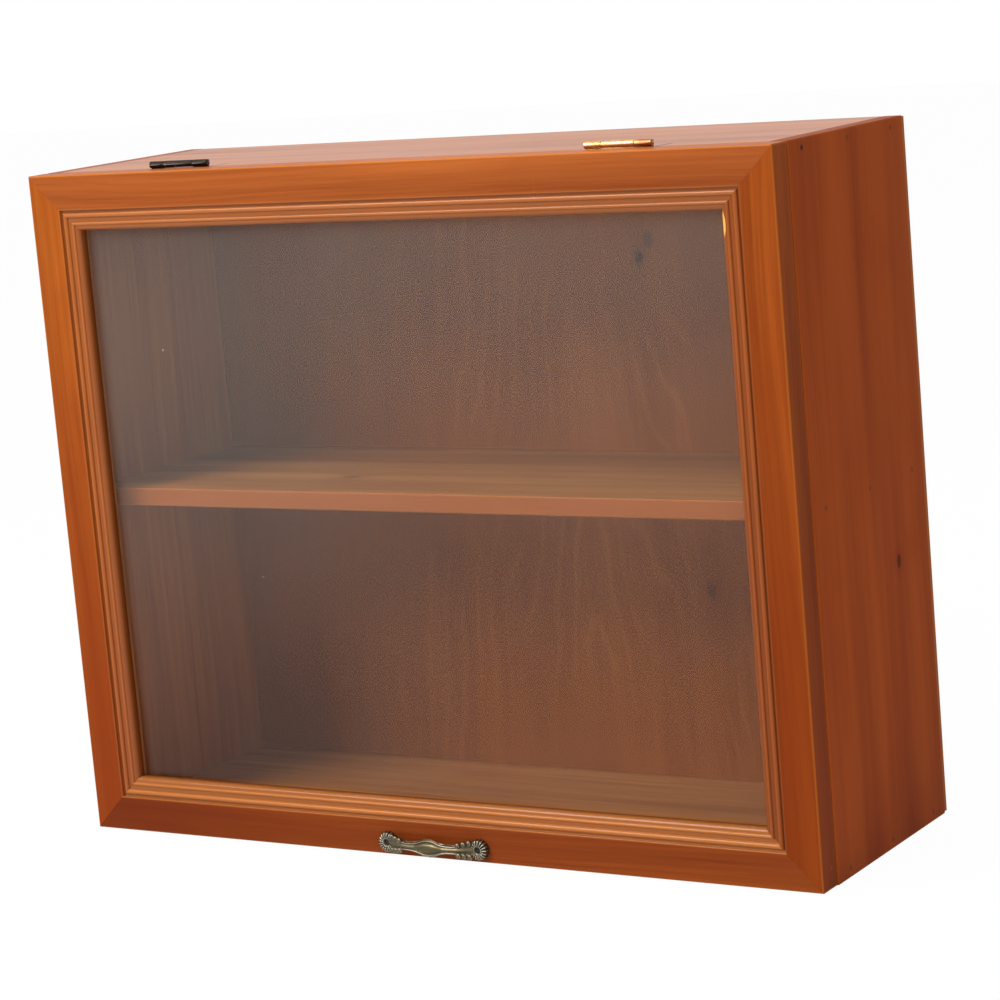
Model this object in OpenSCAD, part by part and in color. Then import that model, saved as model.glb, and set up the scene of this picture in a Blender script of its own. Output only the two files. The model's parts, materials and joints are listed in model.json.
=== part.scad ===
// Small wall or counter display case with a flip-up glazed door, one shelf,
// two butt hinges on the top front edge and an arched pull on the bottom rail.
// X runs along the width, -Y is the front, Z is up.
// The origin is the centre of the case's underside.

/* [Case] */
// Width over the side boards
case_w = 430; // [300:1:600]
// Height of the case
case_h = 350; // [260:1:500]
// Depth of the side boards
case_d = 125; // [90:1:220]
// Thickness of the side, top and bottom boards
board_t = 9; // [8:0.5:14]
// Rounding of the boards' long edges
board_edge_r = 0.8; // [0.4:0.1:1.5]
// Thickness of the back panel
back_t = 3; // [2.5:0.5:6]
// How far the back panel stays inside the outer edges
back_inset = 0.5; // [0.2:0.1:2]
// Thickness of the shelf
shelf_t = 9.5; // [7:0.5:14]
// Height of the shelf's underside above the case's underside
shelf_level = 173.5; // [70:0.5:190]
// How far the shelf's front edge lies behind the case's front edge
shelf_setback = 3; // [1:0.5:20]

/* [Door frame] */
// Thickness of the door
door_t = 15; // [13:0.5:20]
// Width of the frame members
member_w = 29; // [25:0.5:45]
// Gap between the door and the case
door_gap = 1; // [0.6:0.1:1.6]
// Gap under the door, above the case's underside
door_foot_gap = 0.5; // [0.4:0.1:3]
// Width of the moulded band next to the glass
band_w = 10.7; // [9.5:0.1:14]
// Depth of the moulded band's floor below the flat
band_sink = 1.7; // [1.2:0.1:2.4]
// Radius of the wide bead
wide_bead_r = 1.35; // [1:0.05:1.6]
// Distance from the inner edge to the middle of the wide bead
wide_bead_in = 8.05; // [7.6:0.05:8.2]
// Radius of the narrow bead
narrow_bead_r = 0.9; // [0.6:0.05:1.1]
// Distance from the inner edge to the middle of the narrow bead
narrow_bead_in = 3.6; // [3.4:0.05:4.4]
// Radius of the rounded inner edge
inner_round_r = 2.4; // [1.6:0.1:2.6]
// Rounding of the outer edges
door_edge_r = 0.8; // [0.4:0.1:1.5]

/* [Glazing] */
// Depth of the lip in front of the glass
lip_t = 7.5; // [6:0.5:8]
// Width of the rebate that holds the glass
rebate_w = 6; // [5.5:0.5:9]
// Thickness of the glass
glass_t = 2; // [1.5:0.5:3]
// Clearance round the edge of the glass
glass_clear = 0.8; // [0.3:0.1:1.2]
// Size of the quarter-round glazing strips
strip_size = 4.6; // [3.5:0.1:5]
// Radius of the glazing pins
glazing_pin_r = 0.5; // [0.4:0.05:0.8]
// Length of the glazing pins
glazing_pin_l = 12; // [8:1:16]

/* [Hinges] */
// Length of each hinge
hinge_l = 36; // [30:1:60]
// Distance from the case's side to the middle of a hinge
hinge_inset = 87; // [50:1:110]
// Radius of the hinge barrel
barrel_r = 1.8; // [1.6:0.1:2.2]
// Radius of the hinge pin
hinge_pin_r = 0.9; // [0.7:0.05:1]
// Thickness of the hinge leaves
leaf_t = 0.8; // [0.7:0.05:0.9]
// How far the leaves reach down from the top of the case
leaf_w = 8; // [7.5:0.5:8]
// Gap between the closed leaves
leaf_gap = 0.3; // [0.2:0.05:0.4]
// Distance from a leaf's middle to each screw
hinge_screw_x = 11; // [8:0.5:12]
// Shank radius of the hinge screws
screw_r = 1; // [0.8:0.1:1.1]
// Head radius of the hinge screws
screw_head_r = 1.8; // [1.6:0.1:2]
// Length of the hinge screws
screw_l = 10; // [8:0.5:11]

/* [Pull] */
// Distance between the pull's two fixing holes
pull_holes = 54; // [45:1:80]
// Height of the pull's middle above the door's lower edge
pull_level = 7; // [6.5:0.1:9]
// Radius of the rosettes at the pull's ends
rosette_r = 5.1; // [4.5:0.1:5.5]
// Thickness of the rosettes
rosette_t = 2.2; // [1.8:0.1:3]
// Height of the pull's outer face above the door
pull_rise = 8.4; // [8:0.1:12]
// Thickness of the grip at its middle
grip_t = 3.2; // [2.6:0.1:3.4]
// Width of the grip's narrow necks
neck_w = 5; // [4:0.1:6]
// Width of the grip at its middle
belly_w = 9.6; // [8:0.1:11]
// Length of the almond-shaped boss
boss_l = 18; // [14:0.5:20]
// Radius of the pins that hold the pull
pull_pin_r = 0.8; // [0.6:0.05:1]
// Length of the pins that hold the pull
pull_pin_l = 11; // [8:0.5:13]

/* [Nails] */
// Radius of the case nails
nail_r = 0.8; // [0.6:0.05:1]
// Head radius of the case nails
nail_head_r = 1.3; // [1.1:0.1:1.8]
// Length of the case nails
nail_l = 28; // [20:1:34]
// Distance from the boards' front and back edges to the outer nails
nail_inset = 14; // [13:1:24]
// Radius of the back panel's pins
back_pin_r = 0.6; // [0.5:0.05:0.8]
// Head radius of the back panel's pins
back_pin_head_r = 1.3; // [1:0.1:1.6]
// Length of the back panel's pins
back_pin_l = 12; // [9:1:13]
// Number of pins along the top and along the bottom of the back panel
back_pins_long = 6; // [4:1:9]
// Number of pins along each side of the back panel
back_pins_side = 4; // [2:1:6]
// Radius of the pins across the door's corners
corner_pin_r = 0.7; // [0.5:0.05:0.9]
// Length of the pins across the door's corners
corner_pin_l = 24; // [18:1:30]

/* [Hidden] */

wood_stain = [0.62, 0.29, 0.14];
inner_stain = [0.52, 0.27, 0.14];
ply_stain = [0.42, 0.22, 0.12];
steel_grey = [0.55, 0.55, 0.56];
dark_bronze = [0.22, 0.18, 0.14];
bright_brass = [0.85, 0.66, 0.28];
antique_bronze = [0.36, 0.31, 0.20];
clear_glass = [0.75, 0.85, 0.85, 0.3];

// Clearance of a nail, pin or screw in its own hole
hole_fit = 0.02;
// Running clearance of the hinge pin in the moving knuckle
running_fit = 0.05;
// Clearance between neighbouring knuckles, and round a leaf in its recess
knuckle_gap = 0.15;
// How far a piece is cut past a face, so that no skin is left
past = 1;

inner_w = case_w - 2 * board_t;
case_front = -case_d / 2;
case_back = case_d / 2;
door_back = case_front - door_gap;
door_front = door_back - door_t;
door_w = case_w;
door_h = case_h - door_foot_gap;
door_mid_z = door_foot_gap + door_h / 2;
shelf_d = case_d - shelf_setback;
shelf_mid_z = shelf_level + shelf_t / 2;

// The hinge axis lies over the middle of the door gap, clear of the top
barrel_lift = 0.2;
axis_y = case_front - door_gap / 2;
axis_z = case_h + barrel_lift + barrel_r;
hinge_x = case_w / 2 - hinge_inset;
leaf_sink = leaf_gap / 2 + leaf_t - door_gap / 2;
leaf_clear_r = barrel_r + 0.25;
screw_z = case_h - board_t / 2;
knuckle_end_l = hinge_l / 4;

rebate_u = member_w - rebate_w;
strip_front = lip_t + glass_t;
strip_mid = strip_front + strip_size * 0.5;

nail_rows = [case_front + nail_inset, 0, case_back - nail_inset];
nail_levels = [board_t / 2, shelf_mid_z, case_h - board_t / 2];
back_pin_x = case_w / 2 - board_t / 2;
back_pin_low = board_t / 2;
back_pin_high = case_h - board_t / 2;
corner_pin_in = member_w * 0.34;
corner_pin_depth = door_t * 0.66;

// A board's cross-section with four rounded corners
module board_section(w, t) {
    translate([-w / 2, -t / 2]) {
        translate([board_edge_r, 0]) square([w - 2 * board_edge_r, t]);
        translate([0, board_edge_r]) square([w, t - 2 * board_edge_r]);
        for (x = [board_edge_r, w - board_edge_r], y = [board_edge_r, t - board_edge_r])
            translate([x, y]) circle(r = board_edge_r, $fn = 24);
    }
}

// A nail along +Z with its head's face at z = 0, and the hole that it needs
module nail(r, head_r, head_t, l, fit = 0) {
    translate([0, 0, -l]) cylinder(r = r + fit, h = l + fit, $fn = 24);
    translate([0, 0, -head_t - fit]) cylinder(r = head_r + fit, h = head_t + 2 * fit, $fn = 32);
}

nail_head_t = 0.7;
back_pin_head_t = 0.5;
corner_pin_head_t = 0.6;

// The case nails of one side: side is 1 on the right and -1 on the left
module side_nails(side, fit = 0) {
    for (y = nail_rows, z = nail_levels)
        translate([side * case_w / 2, y, z]) rotate([0, side * 90, 0])
            nail(nail_r, nail_head_r, nail_head_t, nail_l, fit);
}

module back_nails(fit = 0) {
    span_x = 2 * back_pin_x;
    span_z = back_pin_high - back_pin_low;
    for (i = [0 : back_pins_long - 1], z = [back_pin_low, back_pin_high])
        translate([-back_pin_x + span_x * i / (back_pins_long - 1), case_back + back_t, z])
            rotate([-90, 0, 0])
                nail(back_pin_r, back_pin_head_r, back_pin_head_t, back_pin_l, fit);
    for (i = [1 : back_pins_side], x = [-back_pin_x, back_pin_x])
        translate([x, case_back + back_t, back_pin_low + span_z * i / (back_pins_side + 1)])
            rotate([-90, 0, 0])
                nail(back_pin_r, back_pin_head_r, back_pin_head_t, back_pin_l, fit);
    for (x = [-inner_w / 4, inner_w / 4])
        translate([x, case_back + back_t, shelf_mid_z]) rotate([-90, 0, 0])
            nail(back_pin_r, back_pin_head_r, back_pin_head_t, back_pin_l, fit);
}

// A side board: side is 1 on the right and -1 on the left
module side_board(side) {
    difference() {
        translate([side * (case_w - board_t) / 2, 0, 0])
            linear_extrude(height = case_h) board_section(board_t, case_d);
        side_nails(side, hole_fit);
        back_nails(hole_fit);
    }
}

// A board between the sides, with its underside at a height
module cross_board(level, t) {
    translate([0, 0, level + t / 2]) rotate([0, 90, 0])
        linear_extrude(height = inner_w, center = true) board_section(t, case_d);
}

module left_side() {
    color(wood_stain) side_board(-1);
}

module right_side() {
    color(wood_stain) side_board(1);
}

module top_board() {
    color(wood_stain) difference() {
        cross_board(case_h - board_t, board_t);
        side_nails(-1, hole_fit);
        side_nails(1, hole_fit);
        back_nails(hole_fit);
        for (side = [-1, 1]) {
            leaf_recess(side, case_front - past, case_front + leaf_sink);
            leaf_screws(side, 1, hole_fit);
        }
    }
}

module bottom_board() {
    color(inner_stain) difference() {
        cross_board(0, board_t);
        side_nails(-1, hole_fit);
        side_nails(1, hole_fit);
        back_nails(hole_fit);
    }
}

module shelf() {
    color(inner_stain) difference() {
        translate([0, shelf_setback / 2, shelf_mid_z]) rotate([0, 90, 0])
            linear_extrude(height = inner_w, center = true) board_section(shelf_t, shelf_d);
        side_nails(-1, hole_fit);
        side_nails(1, hole_fit);
        back_nails(hole_fit);
    }
}

module back_panel() {
    color(ply_stain) difference() {
        translate([-case_w / 2 + back_inset, case_back, back_inset])
            cube([case_w - 2 * back_inset, back_t, case_h - 2 * back_inset]);
        back_nails(hole_fit);
    }
}

module case_nails() {
    color(steel_grey) {
        side_nails(-1);
        side_nails(1);
    }
}

module back_panel_pins() {
    color(steel_grey) back_nails();
}

// Cross-section of a frame member: x runs in from the outer edge to the glass,
// y runs back from the front face
module member_section() {
    difference() {
        union() {
            difference() {
                square([member_w, door_t]);
                translate([member_w - band_w, -past]) square([band_w + past, band_sink + past]);
                translate([-past, -past]) square([door_edge_r + past, door_edge_r + past]);
                translate([-past, door_t - door_edge_r])
                    square([door_edge_r + past, door_edge_r + past]);
                translate([member_w - inner_round_r, -past])
                    square([inner_round_r + past, band_sink + inner_round_r + past]);
            }
            translate([door_edge_r, door_edge_r]) circle(r = door_edge_r, $fn = 24);
            translate([door_edge_r, door_t - door_edge_r]) circle(r = door_edge_r, $fn = 24);
            translate([member_w - wide_bead_in, band_sink]) circle(r = wide_bead_r, $fn = 40);
            translate([member_w - narrow_bead_in, band_sink]) circle(r = narrow_bead_r, $fn = 32);
            translate([member_w - inner_round_r, band_sink + inner_round_r])
                circle(r = inner_round_r, $fn = 40);
        }
        translate([rebate_u, lip_t]) square([rebate_w + past, door_t - lip_t + past]);
    }
}

// Quarter-round strip that holds the glass, in the member's own section
module strip_section() {
    translate([rebate_u, strip_front]) intersection() {
        square([strip_size, strip_size]);
        circle(r = strip_size, $fn = 48);
    }
}

// Room between the two mitre cuts of an upright or level member
module mitre_room(upright) {
    a = (upright ? door_w : door_h) / 2;
    b = (upright ? door_h : door_w) / 2;
    reach = member_w + past;
    outline = [[-a, b], [-a, -b], [-a + reach, -b + reach], [-a + reach, b - reach]];
    translate([0, door_front - past, door_mid_z]) rotate([90, upright ? 0 : -90, 0])
        mirror([0, 0, 1]) linear_extrude(height = door_t + 2 * past) polygon(outline);
}

// Left-hand upright with a section given as a child
module left_upright() {
    intersection() {
        translate([-door_w / 2, door_front, door_mid_z])
            linear_extrude(height = door_h, center = true) children();
        mitre_room(true);
    }
}

// Lower level member with a section given as a child
module lower_member() {
    intersection() {
        translate([0, door_front, door_foot_gap]) rotate([0, -90, 0])
            linear_extrude(height = door_w, center = true) children();
        mitre_room(false);
    }
}

// Upper level member: the lower one turned over at the door's middle
module upper_member() {
    translate([0, 0, 2 * door_mid_z]) mirror([0, 0, 1]) lower_member() children();
}

module corner_nails(fit = 0) {
    for (side = [-1, 1], z = [door_foot_gap + corner_pin_in, case_h - corner_pin_in])
        translate([side * door_w / 2, door_front + corner_pin_depth, z])
            rotate([0, side * 90, 0])
                nail(corner_pin_r, corner_pin_r + 0.3, corner_pin_head_t, corner_pin_l, fit);
}

// Glazing pins in one strip, given as distances along it
module level_strip_pins(low, fit = 0) {
    z_face = rebate_u + strip_size * 0.85;
    reach = inner_w / 2 - 3 * member_w / 2;
    for (x = [-reach, 0, reach])
        translate([x, door_front + strip_mid, low ? door_foot_gap + z_face : case_h - z_face])
            rotate([low ? 0 : 180, 0, 0])
                translate([0, 0, -glazing_pin_l])
                    cylinder(r = glazing_pin_r + fit, h = glazing_pin_l + fit, $fn = 20);
}

module upright_strip_pins(side, fit = 0) {
    x_face = door_w / 2 - rebate_u - strip_size * 0.85;
    reach = door_h / 2 - 5 * member_w / 2;
    for (z = [-reach, reach])
        translate([side * x_face, door_front + strip_mid, door_mid_z + z])
            rotate([0, side * 90, 0])
                translate([0, 0, -fit])
                    cylinder(r = glazing_pin_r + fit, h = glazing_pin_l + fit, $fn = 20);
}

module door_left_stile() {
    color(wood_stain) difference() {
        left_upright() member_section();
        corner_nails(hole_fit);
        upright_strip_pins(-1, hole_fit);
    }
}

module door_right_stile() {
    color(wood_stain) difference() {
        mirror([1, 0, 0]) left_upright() member_section();
        corner_nails(hole_fit);
        upright_strip_pins(1, hole_fit);
    }
}

module door_top_rail() {
    color(wood_stain) difference() {
        upper_member() member_section();
        corner_nails(hole_fit);
        level_strip_pins(false, hole_fit);
        for (side = [-1, 1]) {
            leaf_recess(side, door_back - leaf_sink, door_back + past);
            leaf_screws(side, -1, hole_fit);
        }
    }
}

module door_bottom_rail() {
    color(wood_stain) difference() {
        lower_member() member_section();
        corner_nails(hole_fit);
        level_strip_pins(true, hole_fit);
        pull_nails(hole_fit);
    }
}

module door_corner_pins() {
    color(steel_grey) corner_nails();
}

module glass_pane() {
    w = door_w - 2 * rebate_u - 2 * glass_clear;
    h = door_h - 2 * rebate_u - 2 * glass_clear;
    color(clear_glass) translate([-w / 2, door_front + lip_t, door_mid_z - h / 2])
        cube([w, glass_t, h]);
}

module glazing_strip_left() {
    color(wood_stain) difference() {
        left_upright() strip_section();
        upright_strip_pins(-1, hole_fit);
    }
}

module glazing_strip_right() {
    color(wood_stain) difference() {
        mirror([1, 0, 0]) left_upright() strip_section();
        upright_strip_pins(1, hole_fit);
    }
}

module glazing_strip_top() {
    color(wood_stain) difference() {
        upper_member() strip_section();
        level_strip_pins(false, hole_fit);
    }
}

module glazing_strip_bottom() {
    color(wood_stain) difference() {
        lower_member() strip_section();
        level_strip_pins(true, hole_fit);
    }
}

module glazing_pins() {
    color(steel_grey) {
        upright_strip_pins(-1);
        upright_strip_pins(1);
        level_strip_pins(true);
        level_strip_pins(false);
    }
}

// Recess for a leaf, from one depth to another
module leaf_recess(side, y_from, y_to) {
    w = hinge_l + 2 * knuckle_gap;
    translate([side * hinge_x - w / 2, y_from, case_h - leaf_w - knuckle_gap])
        cube([w, y_to - y_from, leaf_w + knuckle_gap + past]);
}

// Screws of one leaf: way is 1 into the case and -1 into the door
module leaf_screws(side, way, fit = 0) {
    face = axis_y + way * leaf_gap / 2;
    for (x = [-hinge_screw_x, hinge_screw_x])
        translate([side * hinge_x + x, face, screw_z]) rotate([-way * 90, 0, 0]) {
            cylinder(r1 = screw_head_r + fit, r2 = screw_r + fit, h = leaf_t, $fn = 32);
            cylinder(r = screw_r + fit, h = screw_l + fit, $fn = 24);
        }
}

// A length of the barrel between two places along the hinge
module knuckle(from, to, bore_r) {
    translate([from, axis_y, axis_z]) rotate([0, 90, 0]) difference() {
        cylinder(r = barrel_r, h = to - from, $fn = 40);
        translate([0, 0, -past]) cylinder(r = bore_r, h = to - from + 2 * past, $fn = 32);
    }
}

// One leaf: way is 1 for the case's leaf and -1 for the door's leaf.
// spans lists where its knuckles start and end along the hinge.
module hinge_leaf(side, way, spans, bore_r) {
    y_low = way > 0 ? axis_y + leaf_gap / 2 : axis_y - leaf_gap / 2 - leaf_t;
    start = side * hinge_x - hinge_l / 2;
    difference() {
        union() {
            translate([start, y_low, case_h - leaf_w])
                cube([hinge_l, leaf_t, leaf_w + axis_z - case_h - leaf_clear_r]);
            for (s = spans)
                translate([start + s[0], y_low, case_h - leaf_w])
                    cube([s[1] - s[0], leaf_t, axis_z - case_h + leaf_w]);
            for (s = spans) knuckle(start + s[0], start + s[1], bore_r);
        }
        translate([start - past, axis_y, axis_z]) rotate([0, 90, 0])
            cylinder(r = bore_r, h = hinge_l + 2 * past, $fn = 32);
        leaf_screws(side, way, hole_fit);
    }
}

module hinge_case_leaf(side) {
    hinge_leaf(side, 1, [[0, knuckle_end_l], [hinge_l - knuckle_end_l, hinge_l]],
        hinge_pin_r + hole_fit);
}

module hinge_door_leaf(side) {
    hinge_leaf(side, -1,
        [[knuckle_end_l + knuckle_gap, hinge_l - knuckle_end_l - knuckle_gap]],
        hinge_pin_r + running_fit);
}

module hinge_pin(side) {
    proud = 0.4;
    translate([side * hinge_x - hinge_l / 2 - proud, axis_y, axis_z]) rotate([0, 90, 0])
        cylinder(r = hinge_pin_r, h = hinge_l + 2 * proud, $fn = 32);
}

module left_hinge_case_leaf() {
    color(dark_bronze) hinge_case_leaf(-1);
}

module left_hinge_door_leaf() {
    color(dark_bronze) hinge_door_leaf(-1);
}

module left_hinge_pin() {
    color(dark_bronze) hinge_pin(-1);
}

module right_hinge_case_leaf() {
    color(bright_brass) hinge_case_leaf(1);
}

module right_hinge_door_leaf() {
    color(bright_brass) hinge_door_leaf(1);
}

module right_hinge_pin() {
    color(bright_brass) hinge_pin(1);
}

module case_hinge_screws() {
    color(steel_grey) for (side = [-1, 1]) leaf_screws(side, 1);
}

module door_hinge_screws() {
    color(steel_grey) for (side = [-1, 1]) leaf_screws(side, -1);
}

// Middle of the pull on the door's front face
pull_z = door_foot_gap + pull_level;
pull_half = pull_holes / 2;
grip_flat = pull_holes * 0.28;
foot_in = rosette_r * 0.55;

// Side view of the grip: x along the pull, y out from the door
module grip_side() {
    span = pull_half - foot_in;
    under = pull_rise - grip_t;
    difference() {
        polygon([[-span - 1, 0], [-span - 1, rosette_t], [-grip_flat - 4, pull_rise - 1.6],
            [-grip_flat, pull_rise - 0.3], [0, pull_rise], [grip_flat, pull_rise - 0.3],
            [grip_flat + 4, pull_rise - 1.6], [span + 1, rosette_t], [span + 1, 0]]);
        polygon([[-span + 2.2, -past], [-span + 2.2, rosette_t * 0.5], [-grip_flat - 1, under],
            [grip_flat + 1, under], [span - 2.2, rosette_t * 0.5], [span - 2.2, -past]]);
    }
}

// Front view of the grip: two necks and a belly, all from circles and bars
module grip_front() {
    belly_r = (belly_w * belly_w / 4 + boss_l * boss_l / 4) / belly_w;
    intersection() {
        translate([0, belly_r - belly_w / 2]) circle(r = belly_r, $fn = 96);
        translate([0, belly_w / 2 - belly_r]) circle(r = belly_r, $fn = 96);
    }
    square([pull_holes, neck_w], center = true);
}

// Small scrolls that step down from a rosette to the neck
module scrolls(side) {
    for (i = [0 : 2], up = [-1, 1])
        translate([side * (pull_half - rosette_r * 0.85 - i * 2.3),
            up * (neck_w / 2 + 0.9 - i * 0.5), 0])
            cylinder(r = 1.3 - i * 0.15, h = rosette_t + 0.6 + i * 0.4, $fn = 20);
}

module rosette() {
    lobes = 16;
    cylinder(r = rosette_r - 0.5, h = rosette_t, $fn = 48);
    for (i = [0 : lobes - 1])
        rotate([0, 0, i * 360 / lobes]) translate([rosette_r - 0.5, 0, 0])
            cylinder(r = 0.9, h = rosette_t - 0.4, $fn = 16);
}

module pull_nails(fit = 0) {
    for (side = [-1, 1])
        translate([side * pull_half, door_front - rosette_t, pull_z]) rotate([90, 0, 0])
            nail(pull_pin_r, pull_pin_r + 0.6, 0.7, pull_pin_l, fit);
}

module pull_handle() {
    color(antique_bronze) difference() {
        translate([0, door_front, pull_z]) rotate([90, 0, 0]) {
            intersection() {
                rotate([90, 0, 0]) translate([0, 0, -belly_w])
                    linear_extrude(height = 2 * belly_w) grip_side();
                linear_extrude(height = pull_rise + past) grip_front();
            }
            for (side = [-1, 1]) {
                translate([side * pull_half, 0, 0]) rosette();
                scrolls(side);
            }
        }
        pull_nails(hole_fit);
    }
}

module pull_pins() {
    color(steel_grey) pull_nails();
}

left_side();
right_side();
top_board();
bottom_board();
shelf();
back_panel();
case_nails();
back_panel_pins();
door_left_stile();
door_right_stile();
door_top_rail();
door_bottom_rail();
door_corner_pins();
glass_pane();
glazing_strip_left();
glazing_strip_right();
glazing_strip_top();
glazing_strip_bottom();
glazing_pins();
left_hinge_case_leaf();
left_hinge_door_leaf();
left_hinge_pin();
right_hinge_case_leaf();
right_hinge_door_leaf();
right_hinge_pin();
case_hinge_screws();
door_hinge_screws();
pull_handle();
pull_pins();
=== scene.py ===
"""Looks of a small stained display case with a flip-up glazed door.

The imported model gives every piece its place. This script dresses the plain boards, and makes
the moulded door members, the hinges, their screws and the cast pull again in full detail.
"""

import json
import logging
import math
from dataclasses import dataclass, field
from enum import Enum
from typing import Any, Callable, Iterable, Sequence, Union

import bmesh
import bpy
from mathutils import Matrix, Vector


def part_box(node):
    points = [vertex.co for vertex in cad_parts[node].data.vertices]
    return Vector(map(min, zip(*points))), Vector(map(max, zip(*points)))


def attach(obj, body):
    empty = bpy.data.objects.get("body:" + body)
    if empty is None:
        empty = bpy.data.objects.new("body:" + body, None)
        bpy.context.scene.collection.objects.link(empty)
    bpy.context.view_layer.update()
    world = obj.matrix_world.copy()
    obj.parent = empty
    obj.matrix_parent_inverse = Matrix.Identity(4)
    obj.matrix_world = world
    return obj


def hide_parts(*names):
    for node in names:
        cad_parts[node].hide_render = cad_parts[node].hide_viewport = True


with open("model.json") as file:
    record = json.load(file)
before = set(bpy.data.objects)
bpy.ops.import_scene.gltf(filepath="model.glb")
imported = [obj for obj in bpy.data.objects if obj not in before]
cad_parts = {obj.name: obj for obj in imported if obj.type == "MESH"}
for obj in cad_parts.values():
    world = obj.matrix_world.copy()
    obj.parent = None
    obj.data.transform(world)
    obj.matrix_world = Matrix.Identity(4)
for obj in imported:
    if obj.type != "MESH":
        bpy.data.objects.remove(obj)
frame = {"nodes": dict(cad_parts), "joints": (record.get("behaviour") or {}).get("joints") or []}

LOG = logging.getLogger("display_case")
MM = 0.001

Colour = tuple[float, float, float]
Point = Sequence[float]
Number = Union["Value", float]


class Value:
    """A socket whose number varies over a surface, used in ordinary arithmetic."""

    def __init__(self, graph: "Graph", socket: bpy.types.NodeSocket) -> None:
        """Keeps the graph that the socket belongs to."""
        self.graph = graph
        self.socket = socket

    def __add__(self, other: Number) -> "Value":
        """Returns the sum."""
        return self.graph.math("ADD", self, other)

    __radd__ = __add__

    def __mul__(self, other: Number) -> "Value":
        """Returns the product."""
        return self.graph.math("MULTIPLY", self, other)

    __rmul__ = __mul__

    def __sub__(self, other: Number) -> "Value":
        """Returns this less the other."""
        return self.graph.math("SUBTRACT", self, other)

    def __rsub__(self, other: Number) -> "Value":
        """Returns the other less this."""
        return self.graph.math("SUBTRACT", other, self)

    def __truediv__(self, other: Number) -> "Value":
        """Returns this over the other."""
        return self.graph.math("DIVIDE", self, other)

    def __pow__(self, other: Number) -> "Value":
        """Returns this to a power."""
        return self.graph.math("POWER", self, other)


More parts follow.
